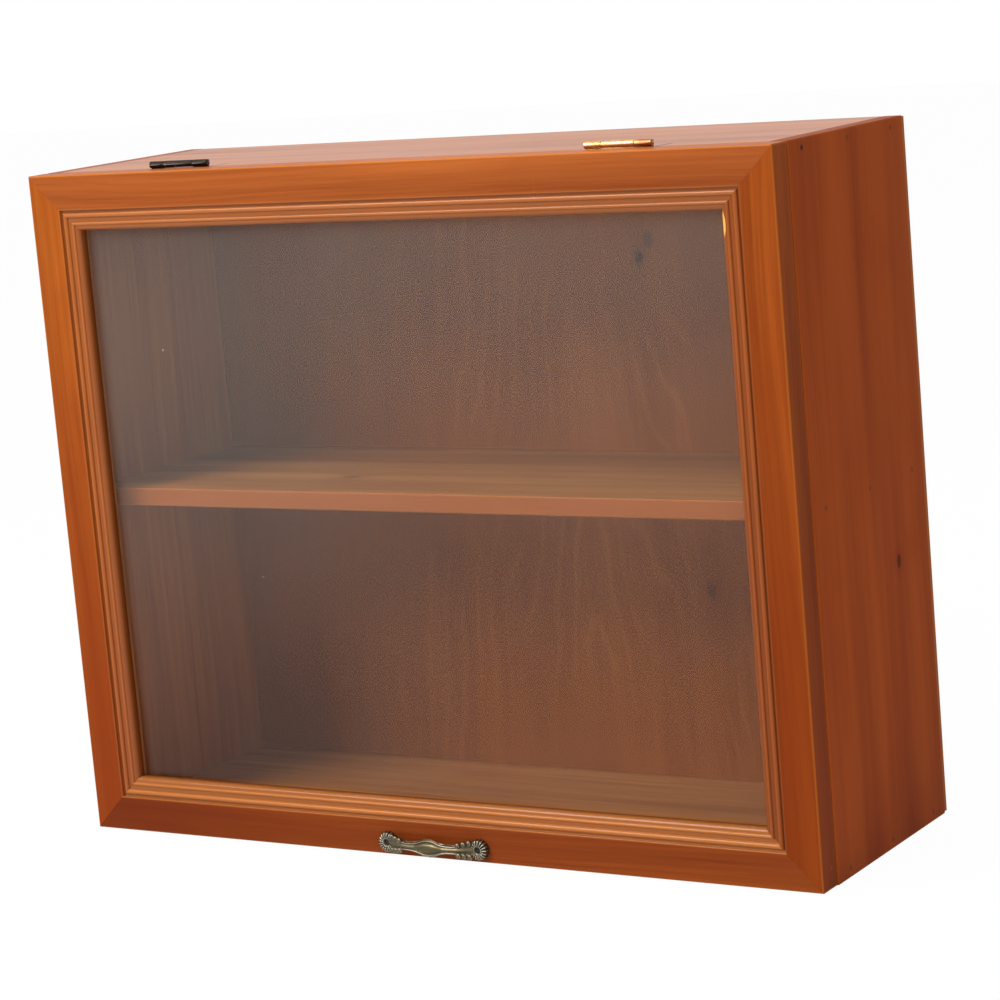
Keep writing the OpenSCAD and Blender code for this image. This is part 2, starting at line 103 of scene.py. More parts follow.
class Graph:
    """The node tree of one material or of the surroundings, filled node by node."""

    def __init__(self, name: str) -> None:
        """Makes an empty material.

        Args:
            name: The material's name.
        """
        self.material = bpy.data.materials.new(name)
        self.material.use_nodes = True
        self._start(self.material.node_tree, "ShaderNodeOutputMaterial")

    @classmethod
    def of_world(cls, world: bpy.types.World) -> "Graph":
        """Returns the emptied node tree of the surroundings, which has no material."""
        graph = cls.__new__(cls)
        graph._start(world.node_tree, "ShaderNodeOutputWorld")
        return graph

    def _start(self, tree: bpy.types.NodeTree, output: str) -> None:
        """Empties a tree and gives it its output node."""
        self.tree = tree
        self.tree.nodes.clear()
        self.output = self.tree.nodes.new(output)

    def node(
        self,
        kind: str,
        settings: dict[str, Any] | None = None,
        inputs: dict[Union[str, int], Any] | None = None,
    ) -> bpy.types.Node:
        """Adds any node.

        Args:
            kind: The node's type.
            settings: Its own settings, set before the sockets.
            inputs: Values or links for its sockets, by name or number.

        Returns:
            The new node.
        """
        made = self.tree.nodes.new(kind)
        for key, setting in (settings or {}).items():
            setattr(made, key, setting)
        for key, given in (inputs or {}).items():
            if isinstance(given, Value):
                self.tree.links.new(given.socket, made.inputs[key])
            elif isinstance(given, bpy.types.NodeSocket):
                self.tree.links.new(given, made.inputs[key])
            else:
                made.inputs[key].default_value = given
        return made

    def value(self, made: bpy.types.Node, output: Union[str, int] = 0) -> Value:
        """Returns one output of a node as a value."""
        return Value(self, made.outputs[output])

    def math(self, operation: str, first: Number, second: Number = 0.0) -> Value:
        """Adds a Math node and returns its result."""
        return self.value(
            self.node("ShaderNodeMath", {"operation": operation}, {0: first, 1: second})
        )

    def least(self, first: Number, second: Number) -> Value:
        """Returns the smaller of two numbers."""
        return self.math("MINIMUM", first, second)

    def most(self, first: Number, second: Number) -> Value:
        """Returns the larger of two numbers."""
        return self.math("MAXIMUM", first, second)

    def clamp(self, number: Number) -> Value:
        """Returns a number kept from 0 to 1."""
        return self.value(self.node("ShaderNodeClamp", inputs={0: number}))

    def step(self, number: Number, low: float, high: float) -> Value:
        """Returns a smooth rise from 0 at low to 1 at high, or a fall where high is below low."""
        made = self.node(
            "ShaderNodeMapRange",
            {"interpolation_type": "SMOOTHSTEP"},
            {0: number, 1: min(low, high), 2: max(low, high)},
        )
        risen = self.value(made)
        return risen if low < high else 1.0 - risen

    def place(self) -> tuple[Value, Value, Value]:
        """Returns the object's own coordinates in millimetres."""
        coordinates = self.node("ShaderNodeTexCoord").outputs["Object"]
        scaled = self.node(
            "ShaderNodeVectorMath", {"operation": "SCALE"}, {0: coordinates, "Scale": 1.0 / MM}
        )
        split = self.node("ShaderNodeSeparateXYZ", inputs={0: scaled.outputs[0]})
        return tuple(self.value(split, i) for i in range(3))

    def facing(self) -> tuple[Value, Value, Value]:
        """Returns the surface's direction in the object's own frame."""
        normal = self.node("ShaderNodeTexCoord").outputs["Normal"]
        split = self.node("ShaderNodeSeparateXYZ", inputs={0: normal})
        return tuple(self.value(split, i) for i in range(3))

    def join(self, x: Number, y: Number, z: Number) -> Value:
        """Returns three numbers as one vector."""
        return self.value(self.node("ShaderNodeCombineXYZ", inputs={0: x, 1: y, 2: z}))

    def noise(self, where: Value, detail: float = 2.0, roughness: float = 0.5) -> Value:
        """Returns smooth noise of one unit's scale, from -1 to 1 about 0."""
        made = self.node(
            "ShaderNodeTexNoise",
            inputs={"Vector": where, "Scale": 1.0, "Detail": detail, "Roughness": roughness},
        )
        return self.value(made) * 2.0 - 1.0

    def specks(self, where: Value, size: float) -> Value:
        """Returns 1 on small round specks scattered at random, and 0 elsewhere."""
        made = self.node("ShaderNodeTexVoronoi", inputs={"Vector": where, "Scale": 1.0})
        chosen = self.node("ShaderNodeSeparateColor", inputs={0: made.outputs["Color"]})
        reach = self.value(chosen) ** 3.0 * size
        return self.step(self.value(made, "Distance") / (reach + 0.001), 1.0, 0.6)

    def mix(self, factor: Number, first: Any, second: Any) -> bpy.types.NodeSocket:
        """Returns a blend of two colours, each an RGB triple or a link."""
        both = [(*c, 1.0) if isinstance(c, tuple) else c for c in (first, second)]
        made = self.node(
            "ShaderNodeMix", {"data_type": "RGBA"}, {0: factor, 6: both[0], 7: both[1]}
        )
        return made.outputs[2]

    def bump(self, height: Number, depth: float) -> bpy.types.NodeSocket:
        """Returns a normal that is roughened by a height.

        Args:
            height: The height, from -1 to 1.
            depth: What one unit of height is, in millimetres.
        """
        made = self.node("ShaderNodeBump", inputs={"Distance": depth * MM, "Height": height})
        return made.outputs[0]

    def principled(self, inputs: dict[str, Any]) -> bpy.types.NodeSocket:
        """Returns a Principled shader with the given sockets."""
        plain = {k: (*v, 1.0) if isinstance(v, tuple) else v for k, v in inputs.items()}
        return self.node("ShaderNodeBsdfPrincipled", inputs=plain).outputs[0]

    def blend(self, factor: Number, first: Any, second: Any) -> bpy.types.NodeSocket:
        """Returns a blend of two shaders."""
        return self.node("ShaderNodeMixShader", inputs={0: factor, 1: first, 2: second}).outputs[0]

    def done(self, shader: bpy.types.NodeSocket) -> bpy.types.Material:
        """Links the surface and returns the material."""
        self.tree.links.new(shader, self.output.inputs["Surface"])
        return self.material


class Grain(Enum):
    """The way in which a board's grain runs, as the number of its axis."""

    ALONG_X = 0
    ALONG_Z = 2


@dataclass(frozen=True)
class Layer:
    """One layer of the noise that makes the grain.

    Attributes:
        wide: Its size across the grain, in millimetres.
        long: Its size along the grain.
        detail: How many finer layers lie in it.
        roughness: Strength of the finer layers.
        moved: Which of its coordinates the board's seed moves: 0 across, 1 in depth, 2 along.
    """

    wide: float
    long: float
    detail: float = 2.0
    roughness: float = 0.5
    moved: int | None = None

    def draw(self, g: Graph, spot: Sequence[Value], seed: float) -> Value:
        """Returns the layer's noise.

        Args:
            g: The material's graph.
            spot: The place across the grain, in depth and along the grain.
            seed: What moves the pattern.

        Returns:
            The noise, from -1 to 1.
        """
        scaled = [place / size for place, size in zip(spot, (self.wide, self.wide, self.long))]
        if self.moved is not None:
            scaled[self.moved] = scaled[self.moved] + seed
        return g.noise(g.join(*scaled), self.detail, self.roughness)


DRIFT = Layer(70.0, 320.0, 1.0, moved=0)
BROAD = Layer(16.0, 420.0, moved=0)
FINE = Layer(2.2, 130.0, 4.0, 0.6, moved=1)
FIBRE = Layer(0.55, 30.0, moved=2)
CLOUD = Layer(55.0, 90.0, 3.0, moved=1)
PORES = Layer(0.8, 14.0, 1.0)
SAW_MARK = (0.02, 0.008, 0.004)
BARE_WOOD = (0.80, 0.40, 0.07)
# The next colour is painted shade: the near black of an open nail hole.
HOLE_SHADE = (0.022, 0.009, 0.005)
MOULDING_START = (17.2, 18.6)


def dimmed(colour: Colour, share: float) -> Colour:
    """Returns a share of a colour."""
    return tuple(part * share for part in colour)


@dataclass(frozen=True)
class Knot:
    """A knot in a board.

    Attributes:
        across: Its place across the grain, in millimetres.
        along: Its place along the grain.
        radius: The radius of its dark middle.
        strength: How dark it is, from 0 to 1.
    """

    across: float
    along: float
    radius: float
    strength: float = 0.8


@dataclass(frozen=True)
class Cathedral:
    """Arched growth rings, as a board sawn flat shows them.

    Attributes:
        across: The middle of the arches across the grain, in millimetres.
        along: Where the arches start along the grain.
        pitch: The width of one ring.
        spread: How wide the arches open, in millimetres along for each across.
        strength: How strongly the rings show, from 0 to 1.
    """

    across: float
    along: float
    pitch: float = 9.0
    spread: float = 5.0
    strength: float = 0.5


@dataclass(frozen=True)
class Chip:
    """A spot where the stain is knocked off and bare wood shows.

    Attributes:
        place: Its middle, in millimetres.
        size: Half its width, depth and height.
    """

    place: tuple[float, float, float]
    size: tuple[float, float, float]


@dataclass(frozen=True)
class Fade:
    """Wood that darkens from one place to another along an axis; on the door's stiles and the back
    panel this is painted shade, where less light falls.

    Attributes:
        axis: The number of the axis.
        start: Where it starts to darken, in millimetres.
        end: Where it is darkest.
        strength: How dark it gets, from 0 to 1.
    """

    axis: int
    start: float
    end: float
    strength: float


@dataclass(frozen=True)
class Score:
    """A thin dark saw mark in a board's face, in millimetres.

    Attributes:
        along: Its place along the grain.
        start: Where it starts across the grain.
        end: Where it ends.
        width: How wide it is.
    """

    along: float
    start: float
    end: float
    width: float = 2.0


@dataclass(frozen=True)
class StainedWood:
    """Stained and varnished wood with grain, bands, rings, knots and worn edges.

    Attributes:
        name: The material's name.
        dark: Colour of the dark grain.
        light: Colour of the pale grain.
        patch: Colour of the patches where the stain took deeper, and the colour that a fade darkens
            towards, which on the stiles and the back panel is painted shade.
        worn: Colour of the rubbed edges.
        grain: The way in which the grain runs.
        face: The axis that the board's face looks along.
        seed: Moves the pattern, so that no two boards match.
        bands: Strength of the broad bands.
        streaks: Strength of the fine streaks.
        patches: Strength of the deeper patches.
        flecks: Strength of the short pale flecks across the grain.
        knots: Knots in the board.
        rings: Arched growth rings, if they show.
        gloss: How much varnish lies over the stain, from 0 to 1.
        roughness: Roughness of the varnish.
        shine: Strength of the reflection straight on, where 0.5 is usual.
        index: Refractive index of the varnish.
        edge_wear: How far the edges are rubbed, from 0 to 1.
        pool_and_shade: How much darker the moulding's grooves are, from stain that collected there
            and from painted shade.
        rubbed: How much paler the moulding is than the flat.
        chips: Spots of bare wood.
        scores: Saw marks.
        fade: Where the wood gets darker along an axis, if it does; on the stiles and the back panel
            this is painted shade.
        relief: How deep the grain lies in the surface, in millimetres.
    """

    name: str
    dark: Colour
    light: Colour
    patch: Colour
    worn: Colour
    grain: Grain
    face: int = 1
    seed: float = 0.0
    bands: float = 1.0
    streaks: float = 0.85
    patches: float = 0.5
    flecks: float = 0.0
    knots: tuple[Knot, ...] = ()
    rings: Cathedral | None = None
    gloss: float = 0.05
    roughness: float = 0.42
    shine: float = 0.12
    index: float = 1.22
    edge_wear: float = 0.3
    pool_and_shade: float = 0.3
    rubbed: float = 0.35
    chips: tuple[Chip, ...] = ()
    scores: tuple[Score, ...] = ()
    fade: Fade | None = None
    relief: float = 0.035

    def build(
        self, low: Point, high: Point, door: tuple[Point, Point] | None = None
    ) -> bpy.types.Material:
        """Makes the material for one board.

        Args:
            low: The board's lowest corner, in metres.
            high: The board's highest corner.
            door: The corners of the door, for one of its moulded members.

        Returns:
            The material.
        """
        g = Graph(self.name)
        places = g.place()
        side = 3 - self.grain.value - self.face
        across, depth, along = (places[i] for i in (side, self.face, self.grain.value))
        drift = DRIFT.draw(g, (across, depth, along), self.seed)
        swirl = across + drift * 9.0
        for knot in self.knots:
            away = self._away(g, across, along, knot)
            swirl = swirl + g.step(away, 4.5, 0.6) * (across - knot.across) * 0.6
        bent = (swirl, depth, along)
        broad, fine, fibre = (layer.draw(g, bent, self.seed) for layer in (BROAD, FINE, FIBRE))
        cloud = CLOUD.draw(g, (across, depth, along), self.seed)
        pores = g.step(PORES.draw(g, bent, self.seed), 0.52, 0.8)

        tone = 0.5 + broad * self.bands + fine * self.streaks + fibre * self.streaks * 0.4
        if self.rings:
            tone = tone + self._rings(g, self.rings, swirl, along, drift) * self.rings.strength
        if self.flecks:
            tone = tone + self._flecks(g, across, along) * self.flecks
        colour = g.mix(g.clamp(tone), self.dark, self.light)
        colour = g.mix(g.step(cloud, 0.0, 0.75) * self.patches, colour, self.patch)
        colour = g.mix(pores * 0.3, colour, dimmed(self.dark, 0.45))
        for knot in self.knots:
            grown = self._away(g, across, along, knot) + fibre * 0.25 + fine * 0.3
            colour = g.mix(g.step(grown, 3.2, 0.9) * knot.strength * 0.45, colour, self.patch)
            colour = g.mix(
                g.step(grown, 1.15, 0.55) * knot.strength, colour, dimmed(self.dark, 0.22)
            )
        # Darker along the fade: painted shade on the stiles and the back panel.
        if self.fade:
            colour = g.mix(self._darkened(g, places, self.fade, cloud), colour, self.patch)

        varnish = self.gloss
        if door:
            band, behind = self._moulding(g, places, door)
            colour = g.mix(band * self.rubbed, colour, dimmed(self.worn, 0.85))
            # The grooves get darker, partly from stain that collected there and partly as painted
            # shade; the lip's inner face by the glass gets darker still, as painted shade.
            groove_stain_and_shade = g.step(behind + fine * 0.2, 1.25, 1.7) * self.pool_and_shade
            shade = g.most(groove_stain_and_shade, g.step(behind, 2.2, 7.0) * 0.8)
            colour = g.mix(band * shade, colour, dimmed(self.dark, 0.35))
            varnish = band * 0.8 + self.gloss
        for score in self.scores:
            colour = g.mix(self._score(g, across, along, score), colour, SAW_MARK)
        edge = self._edge(g, places, low, high, fine)
        colour = g.mix(edge * self.edge_wear, colour, self.worn)
        end = g.step(g.math("ABSOLUTE", g.facing()[self.grain.value]), 0.75, 0.95)
        colour = g.mix(end * 0.55, colour, dimmed(self.dark, 0.6))
        for chip in self.chips:
            colour = g.mix(self._chip(g, places, chip, fibre), colour, BARE_WOOD)

        height = fibre * 0.45 + fine * 0.4 + broad * 0.15 - pores * 0.5
        return g.done(
            g.principled(
                {
                    "Base Color": colour,
                    "Roughness": self.roughness + fine * 0.06 + cloud * 0.05 + edge * 0.08,
                    "Specular IOR Level": self.shine,
                    "IOR": self.index,
                    "Coat Weight": varnish,
                    "Coat Roughness": 0.2,
                    "Coat IOR": self.index + 0.15,
                    "Normal": g.bump(height, self.relief),
                }
            )
        )

    def _darkened(
        self, g: Graph, places: Sequence[Value], fade: Fade, cloud: Value
    ) -> Value:
        """Returns how much darker the wood is along a fade, with an uneven start."""
        uneven = cloud * 0.05 * (fade.end - fade.start)
        return g.step(places[fade.axis] + uneven, fade.start, fade.end) * fade.strength

    def _away(self, g: Graph, across: Value, along: Value, knot: Knot) -> Value:
        """Returns the distance from a knot's middle, in its own radii."""
        level = (across - knot.across) / knot.radius
        length = (along - knot.along) / (knot.radius * 1.5)
        return g.math("SQRT", level * level + length * length)

    def _moulding(
        self, g: Graph, places: Sequence[Value], door: tuple[Point, Point]
    ) -> tuple[Value, Value]:
        """Returns 1 on the door's moulded band, and the depth behind the door's front."""
        low, high = door
        rims = [
            g.least(places[axis] - low[axis] / MM, high[axis] / MM - places[axis])
            for axis in (0, 2)
        ]
        return g.step(g.least(*rims), *MOULDING_START), places[1] - low[1] / MM

    def _score(self, g: Graph, across: Value, along: Value, score: Score) -> Value:
        """Returns 1 on a saw mark."""
        near = g.step(g.math("ABSOLUTE", along - score.along), score.width, score.width * 0.4)
        return near * g.step(across, score.start - 0.2, score.start) * g.step(
            across, score.end + 1.5, score.end
        )

    def _chip(self, g: Graph, places: Sequence[Value], chip: Chip, rough: Value) -> Value:
        """Returns 1 on a chip."""
        parts = [
            ((place - middle) / size) ** 2.0
            for place, middle, size in zip(places, chip.place, chip.size)
        ]
        return g.step(parts[0] + parts[1] + parts[2] + rough * 0.5, 1.1, 0.6)

    def _rings(
        self, g: Graph, rings: Cathedral, across: Value, along: Value, drift: Value
    ) -> Value:
        """Returns arched rings, from -1 to 1."""
        level = (across - rings.across) * rings.spread
        arch = g.math("SQRT", level * level + 900.0) + (along - rings.along)
        ripple = g.noise(g.join(across / 26.0, along / 60.0, self.seed), 3.0)
        phase = arch / (rings.pitch * rings.spread) + drift * 2.4 + ripple * 0.9
        wave = g.math("SINE", phase * (2.0 * math.pi))
        patchy = g.noise(g.join(across / 60.0, along / 110.0, self.seed + 5.0), 2.0)
        return g.step(wave, 0.55, 0.98) * g.step(patchy, -0.25, 0.35)

    def _flecks(self, g: Graph, across: Value, along: Value) -> Value:
        """Returns short pale flecks that lie across the grain."""
        marks = g.noise(g.join(across / 22.0 + self.seed, along / 2.6, 0.0), 2.0)
        place = g.noise(g.join(across / 60.0, along / 45.0 + self.seed, 3.0), 1.0)
        return g.step(marks, 0.15, 0.7) * g.step(place, 0.0, 0.5)

    def _edge(
        self, g: Graph, places: Sequence[Value], low: Point, high: Point, rough: Value
    ) -> Value:
        """Returns 1 along the board's edges, where the stain is rubbed, and 0 on its faces."""
        near = [
            g.least(place - lowest / MM, highest / MM - place)
            for place, lowest, highest in zip(places, low, high)
        ]
        middle = g.most(g.least(near[0], near[1]), g.least(g.most(near[0], near[1]), near[2]))
        return g.step(middle + rough * 0.35, 1.1, 0.3)


@dataclass(frozen=True)
class FilledHeads:
    """Nail heads sunk and filled with stained putty; one head is open, and the shade of its hole is
    painted near black.

    Attributes:
        name: The material's name.
        putty: Colour of the putty.
        hole_shade_at: Place of the open head, in millimetres, whose hole is painted near black as
            painted shade.
    """

    name: str
    putty: Colour
    hole_shade_at: tuple[float, float, float] = (0.0, 0.0, -1000.0)

    def build(self) -> bpy.types.Material:
        """Returns the material."""
        g = Graph(self.name)
        places = g.place()
        grain = g.noise(g.join(*(place / 0.6 for place in places)), 3.0)
        parts = [(place - at) ** 2.0 for place, at in zip(places, self.hole_shade_at)]
        near = g.step(g.math("SQRT", parts[0] + parts[1] + parts[2]), 3.2, 2.4)
        colour = g.mix(g.clamp(grain + 0.4), self.putty, dimmed(self.putty, 0.6))
        # Painted shade: the open head's hole is painted near black.
        colour = g.mix(near, colour, HOLE_SHADE)
        return g.done(
            g.principled(
                {
                    "Base Color": colour,
                    "Roughness": 0.6 + grain * 0.1,
                    "IOR": 1.15,
                    "Normal": g.bump(grain, 0.05),
                }
            )
        )


@dataclass(frozen=True)
class DustyGlassPaintedVeil:
    """Clear float glass with fine dust, a few specks and a painted reflection: a pale veil that
    grows towards the top left.

    Attributes:
        tint: Colour that the light takes on in passing through.
        index: Refractive index.
        dust_and_veil_strength: Strength of the veil of dust and painted reflection.
        dust: Colour of the dust and of the painted veil.
    """

    tint: Colour = (0.93, 0.96, 0.94)
    index: float = 1.2
    dust_and_veil_strength: float = 0.022
    dust: Colour = (0.75, 0.74, 0.70)

    def build(self) -> bpy.types.Material:
        """Returns the material."""
        g = Graph("dusty_glass")
        x, y, z = g.place()
        clear = g.principled(
            {
                "Base Color": self.tint,
                "Roughness": 0.0,
                "IOR": self.index,
                "Transmission Weight": 1.0,
            }
        )
        passed = g.node("ShaderNodeBsdfTransparent", inputs={0: (*self.tint, 1.0)}).outputs[0]
        ray = g.node("ShaderNodeLightPath")
        through = g.most(g.value(ray, "Is Shadow Ray"), g.value(ray, "Is Diffuse Ray"))
        pane = g.blend(through, clear, passed)
        dust_and_painted_veil = g.noise(g.join(x / 90.0, y, z / 140.0), 3.0) * 0.5
        # Painted reflection: the veil grows towards the top left, where the glass mirrors the
        # bright sky.
        dust_and_painted_veil = dust_and_painted_veil + g.step(z - x * 0.25, 40.0, 360.0) * 1.3 - 0.6
        specks = g.specks(g.join(x / 24.0, y / 24.0, z / 24.0), 0.028)
        dust_and_veil_cover = g.clamp(self.dust_and_veil_strength * (1.0 + dust_and_painted_veil) + specks * 0.35)
        dust_and_veil_shader = g.principled({"Base Color": self.dust, "Roughness": 0.9})
        return g.done(g.blend(dust_and_veil_cover, pane, dust_and_veil_shader))


@dataclass(frozen=True)
class Metal:
    """Worn metal with a darker skin in its hollows.

    Attributes:
        name: The material's name.
        skin: Colour of the old skin.
        bare: Colour where it is rubbed.
        hollow: Colour in the hollows.
        rub: Curvature above which the skin is rubbed away, about 0.5.
        roughness: Roughness of the skin.
        stain: Strength of the patchy staining.
        metallic: How metallic it is.
        flaked: Share of the skin that is flaked off in specks.
        tarnish: Where brown tarnish starts and is full along X, in millimetres.
    """

    name: str
    skin: Colour
    bare: Colour
    hollow: Colour
    rub: float = 0.53
    roughness: float = 0.38
    stain: float = 0.5
    metallic: float = 1.0
    flaked: float = 0.0
    tarnish: tuple[float, float] = (1000.0, 1001.0)

    def build(self) -> bpy.types.Material:
        """Returns the material."""
        g = Graph(self.name)
        x, y, z = g.place()
        patches = g.noise(g.join(x / 3.5, y / 3.5, z / 3.5), 4.0, 0.6)
        grit = g.noise(g.join(x / 0.35, y / 0.35, z / 0.35), 3.0)
        bend = g.value(g.node("ShaderNodeNewGeometry"), "Pointiness")
        raised = g.step(bend + patches * 0.012, self.rub - 0.02, self.rub + 0.035)
        sunk = g.step(bend + patches * 0.01, 0.495, 0.45)
        colour = g.mix(g.clamp(patches * self.stain + 0.35), self.skin, self.hollow)
        colour = g.mix(g.step(x + patches * 2.0, *self.tarnish) * 0.8, colour, self.hollow)
        flakes = g.step(grit * 0.5 + patches, 0.75 - self.flaked, 0.95 - self.flaked)
        colour = g.mix(flakes * min(1.0, 4.0 * self.flaked), colour, self.bare)
        colour = g.mix(raised * 0.85, colour, self.bare)
        colour = g.mix(sunk * 0.85, colour, self.hollow)
        rough = g.clamp(self.roughness + patches * 0.1 + grit * 0.05 + sunk * 0.2 - raised * 0.1)
        return g.done(
            g.principled(
                {
                    "Base Color": colour,
                    "Metallic": g.clamp(self.metallic - sunk * 0.4),
                    "Roughness": rough,
                    "Normal": g.bump(grit * 0.6 + patches * 0.4, 0.03),
                }
            )
        )


class Bench:
    """The hand tools: each works on one object and leaves it in object mode."""

    @staticmethod
    def clear() -> None:
        """Deselects everything."""
        if bpy.context.object and bpy.context.object.mode != "OBJECT":
            bpy.ops.object.mode_set(mode="OBJECT")
        bpy.ops.object.select_all(action="DESELECT")

    @staticmethod
    def take(*pieces: bpy.types.Object) -> None:
        """Selects only these pieces and makes the first one active."""
        Bench.clear()
        for piece in pieces:
            piece.select_set(True)
        bpy.context.view_layer.objects.active = pieces[0]

    @staticmethod
    def settle(name: str) -> bpy.types.Object:
        """Names the new primitive and puts its place into its mesh."""
        piece = bpy.context.object
        piece.name = name
        piece.data.name = name
        bpy.ops.object.transform_apply(location=True, rotation=True, scale=True)
        return piece

    @staticmethod
    def block(name: str, low: Point, high: Point) -> bpy.types.Object:
        """Returns a block between two corners."""
        Bench.clear()
        low, high = Vector(low), Vector(high)
        bpy.ops.mesh.primitive_cube_add(size=1.0, location=(low + high) / 2, scale=high - low)
        return Bench.settle(name)

    @staticmethod
    def rod(
        name: str, start: Point, end: Point, radius: float, sides: int = 32
    ) -> bpy.types.Object:
        """Returns a round rod between two points."""
        Bench.clear()
        start, end = Vector(start), Vector(end)
        way = (end - start).to_track_quat("Z", "Y").to_euler()
        bpy.ops.mesh.primitive_cylinder_add(
            vertices=sides,
            radius=radius,
            depth=(end - start).length,
            location=(start + end) / 2,
            rotation=way,
        )
        return Bench.settle(name)

    @staticmethod
    def cone(
        name: str, start: Point, end_y: float, radii: tuple[float, float]
    ) -> bpy.types.Object:
        """Returns a cone that narrows along Y.

        Args:
            name: Its name.
            start: The middle of its first end.
            end_y: Where its other end lies along Y.
            radii: Its radius at both ends.
        """
        Bench.clear()
        x, y, z = start
        bpy.ops.mesh.primitive_cone_add(
            vertices=28,
            radius1=radii[0],
            radius2=radii[1],
            depth=abs(end_y - y),
            location=(x, (y + end_y) / 2, z),
            rotation=(math.copysign(math.pi / 2, y - end_y), 0.0, 0.0),
        )
        return Bench.settle(name)

    @staticmethod
    def ball(name: str, middle: Point, size: Point, rings: int = 12) -> bpy.types.Object:
        """Returns a ball drawn out to three half sizes."""
        Bench.clear()
        bpy.ops.mesh.primitive_uv_sphere_add(
            segments=2 * rings, ring_count=rings, radius=1.0, location=middle, scale=size
        )
        return Bench.settle(name)

    @staticmethod
    def ring(name: str, middle: Point, major: float, minor: float) -> bpy.types.Object:
        """Returns a round ring that faces along Y."""
        Bench.clear()
        bpy.ops.mesh.primitive_torus_add(
            major_radius=major,
            minor_radius=minor,
            major_segments=24,
            minor_segments=10,
            location=middle,
            rotation=(math.pi / 2, 0.0, 0.0),
        )
        return Bench.settle(name)

    @staticmethod
    def outline(name: str, points: Sequence[Point]) -> bpy.types.Object:
        """Returns a filled flat outline through the given points."""
        Bench.clear()
        bpy.ops.mesh.primitive_circle_add(vertices=len(points), radius=MM, fill_type="NGON")
        piece = Bench.settle(name)
        for vertex, point in zip(piece.data.vertices, points):
            vertex.co = point
        return piece

    @staticmethod
    def pick(piece: bpy.types.Object, test: Callable[[bmesh.types.BMFace], bool]) -> int:
        """Enters edit mode with only the faces selected that pass a test.

        Args:
            piece: The piece to edit.
            test: Says of one face whether it is wanted.

        Returns:
            How many faces are selected.
        """
        Bench.take(piece)
        bpy.ops.object.mode_set(mode="EDIT")
        bpy.ops.mesh.select_mode(type="FACE")
        bpy.ops.mesh.select_all(action="DESELECT")
        mesh = bmesh.from_edit_mesh(piece.data)
        mesh.faces.ensure_lookup_table()
        wanted = [face for face in mesh.faces if test(face)]
        for face in wanted:
            face.select_set(True)
        bmesh.update_edit_mesh(piece.data)
        return len(wanted)

    @staticmethod
    def all_faces(piece: bpy.types.Object) -> None:
        """Enters edit mode with everything selected."""
        Bench.take(piece)
        bpy.ops.object.mode_set(mode="EDIT")
        bpy.ops.mesh.select_all(action="SELECT")

    @staticmethod
    def out() -> None:
        """Leaves edit mode."""
        bpy.ops.object.mode_set(mode="OBJECT")

    @staticmethod
    def extrude(piece: bpy.types.Object, move: Point) -> None:
        """Draws a flat outline out into a closed solid."""
        Bench.all_faces(piece)
        bpy.ops.mesh.extrude_region_move(TRANSFORM_OT_translate={"value": move})
        bpy.ops.mesh.select_all(action="SELECT")
        bpy.ops.mesh.normals_make_consistent(inside=False)
        Bench.out()

    @staticmethod
    def saw(piece: bpy.types.Object, at: Point, away: Point) -> None:
        """Cuts off what lies beyond a plane and closes the cut.

        Args:
            piece: The piece to cut.
            at: A point on the plane.
            away: The direction in which the waste lies.
        """
        Bench.all_faces(piece)
        bpy.ops.mesh.bisect(plane_co=at, plane_no=away, use_fill=True, clear_outer=True)
        Bench.out()

    @staticmethod
    def modify(piece: bpy.types.Object, kind: str, **settings: Any) -> None:
        """Adds a modifier with its settings and applies it."""
        Bench.take(piece)
        made = piece.modifiers.new(kind.lower(), kind)
        for key, setting in settings.items():
            setattr(made, key, setting)
        bpy.ops.object.modifier_apply(modifier=made.name)

    @staticmethod
    def ease(piece: bpy.types.Object, width: float, segments: int = 2, angle: float = 40.0) -> None:
        """Rounds every edge that is sharper than an angle in degrees."""
        Bench.modify(
            piece,
            "BEVEL",
            width=width,
            segments=segments,
            limit_method="ANGLE",
            angle_limit=math.radians(angle),
        )

    @staticmethod
    def cut(piece: bpy.types.Object, *cutters: bpy.types.Object) -> None:
        """Takes the shapes of the cutters out of a piece, and removes the cutters."""
        for cutter in cutters:
            Bench.modify(piece, "BOOLEAN", operation="DIFFERENCE", object=cutter, solver="EXACT")
            bpy.data.objects.remove(cutter)

    @staticmethod
    def weld(piece: bpy.types.Object, *others: bpy.types.Object) -> bpy.types.Object:
        """Unites other solids with a piece, and removes them."""
        for other in others:
            Bench.modify(piece, "BOOLEAN", operation="UNION", object=other, solver="EXACT")
            bpy.data.objects.remove(other)
        return piece

    @staticmethod
    def gather(name: str, pieces: Sequence[bpy.types.Object]) -> bpy.types.Object:
        """Joins pieces into one object."""
        Bench.take(*pieces)
        bpy.ops.object.join()
        pieces[0].name = name
        return pieces[0]

    @staticmethod
    def smooth(piece: bpy.types.Object, angle: float = 35.0) -> None:
        """Shades a piece smooth, apart from edges sharper than an angle in degrees."""
        Bench.take(piece)
        bpy.ops.object.shade_smooth_by_angle(angle=math.radians(angle))


def arc(
    middle: tuple[float, float], radius: float, start: float, end: float, steps: int
) -> list[tuple[float, float]]:
    """Works out points along an arc.

    Args:
        middle: The arc's centre.
        radius: Its radius.
        start: The angle of its first point, in degrees.
        end: The angle of its last point.
        steps: How many stretches it has.

    Returns:
        The points, both ends included.
    """
    turns = [math.radians(start + (end - start) * i / steps) for i in range(steps + 1)]
    return [(middle[0] + radius * math.cos(t), middle[1] + radius * math.sin(t)) for t in turns]


def hump(at: float, middle: float, reach: float, power: float = 2.0) -> float:
    """Returns 1 at the middle of a smooth hump, falling to 0 beyond its reach."""
    return math.exp(-((abs(at - middle) / reach) ** power))


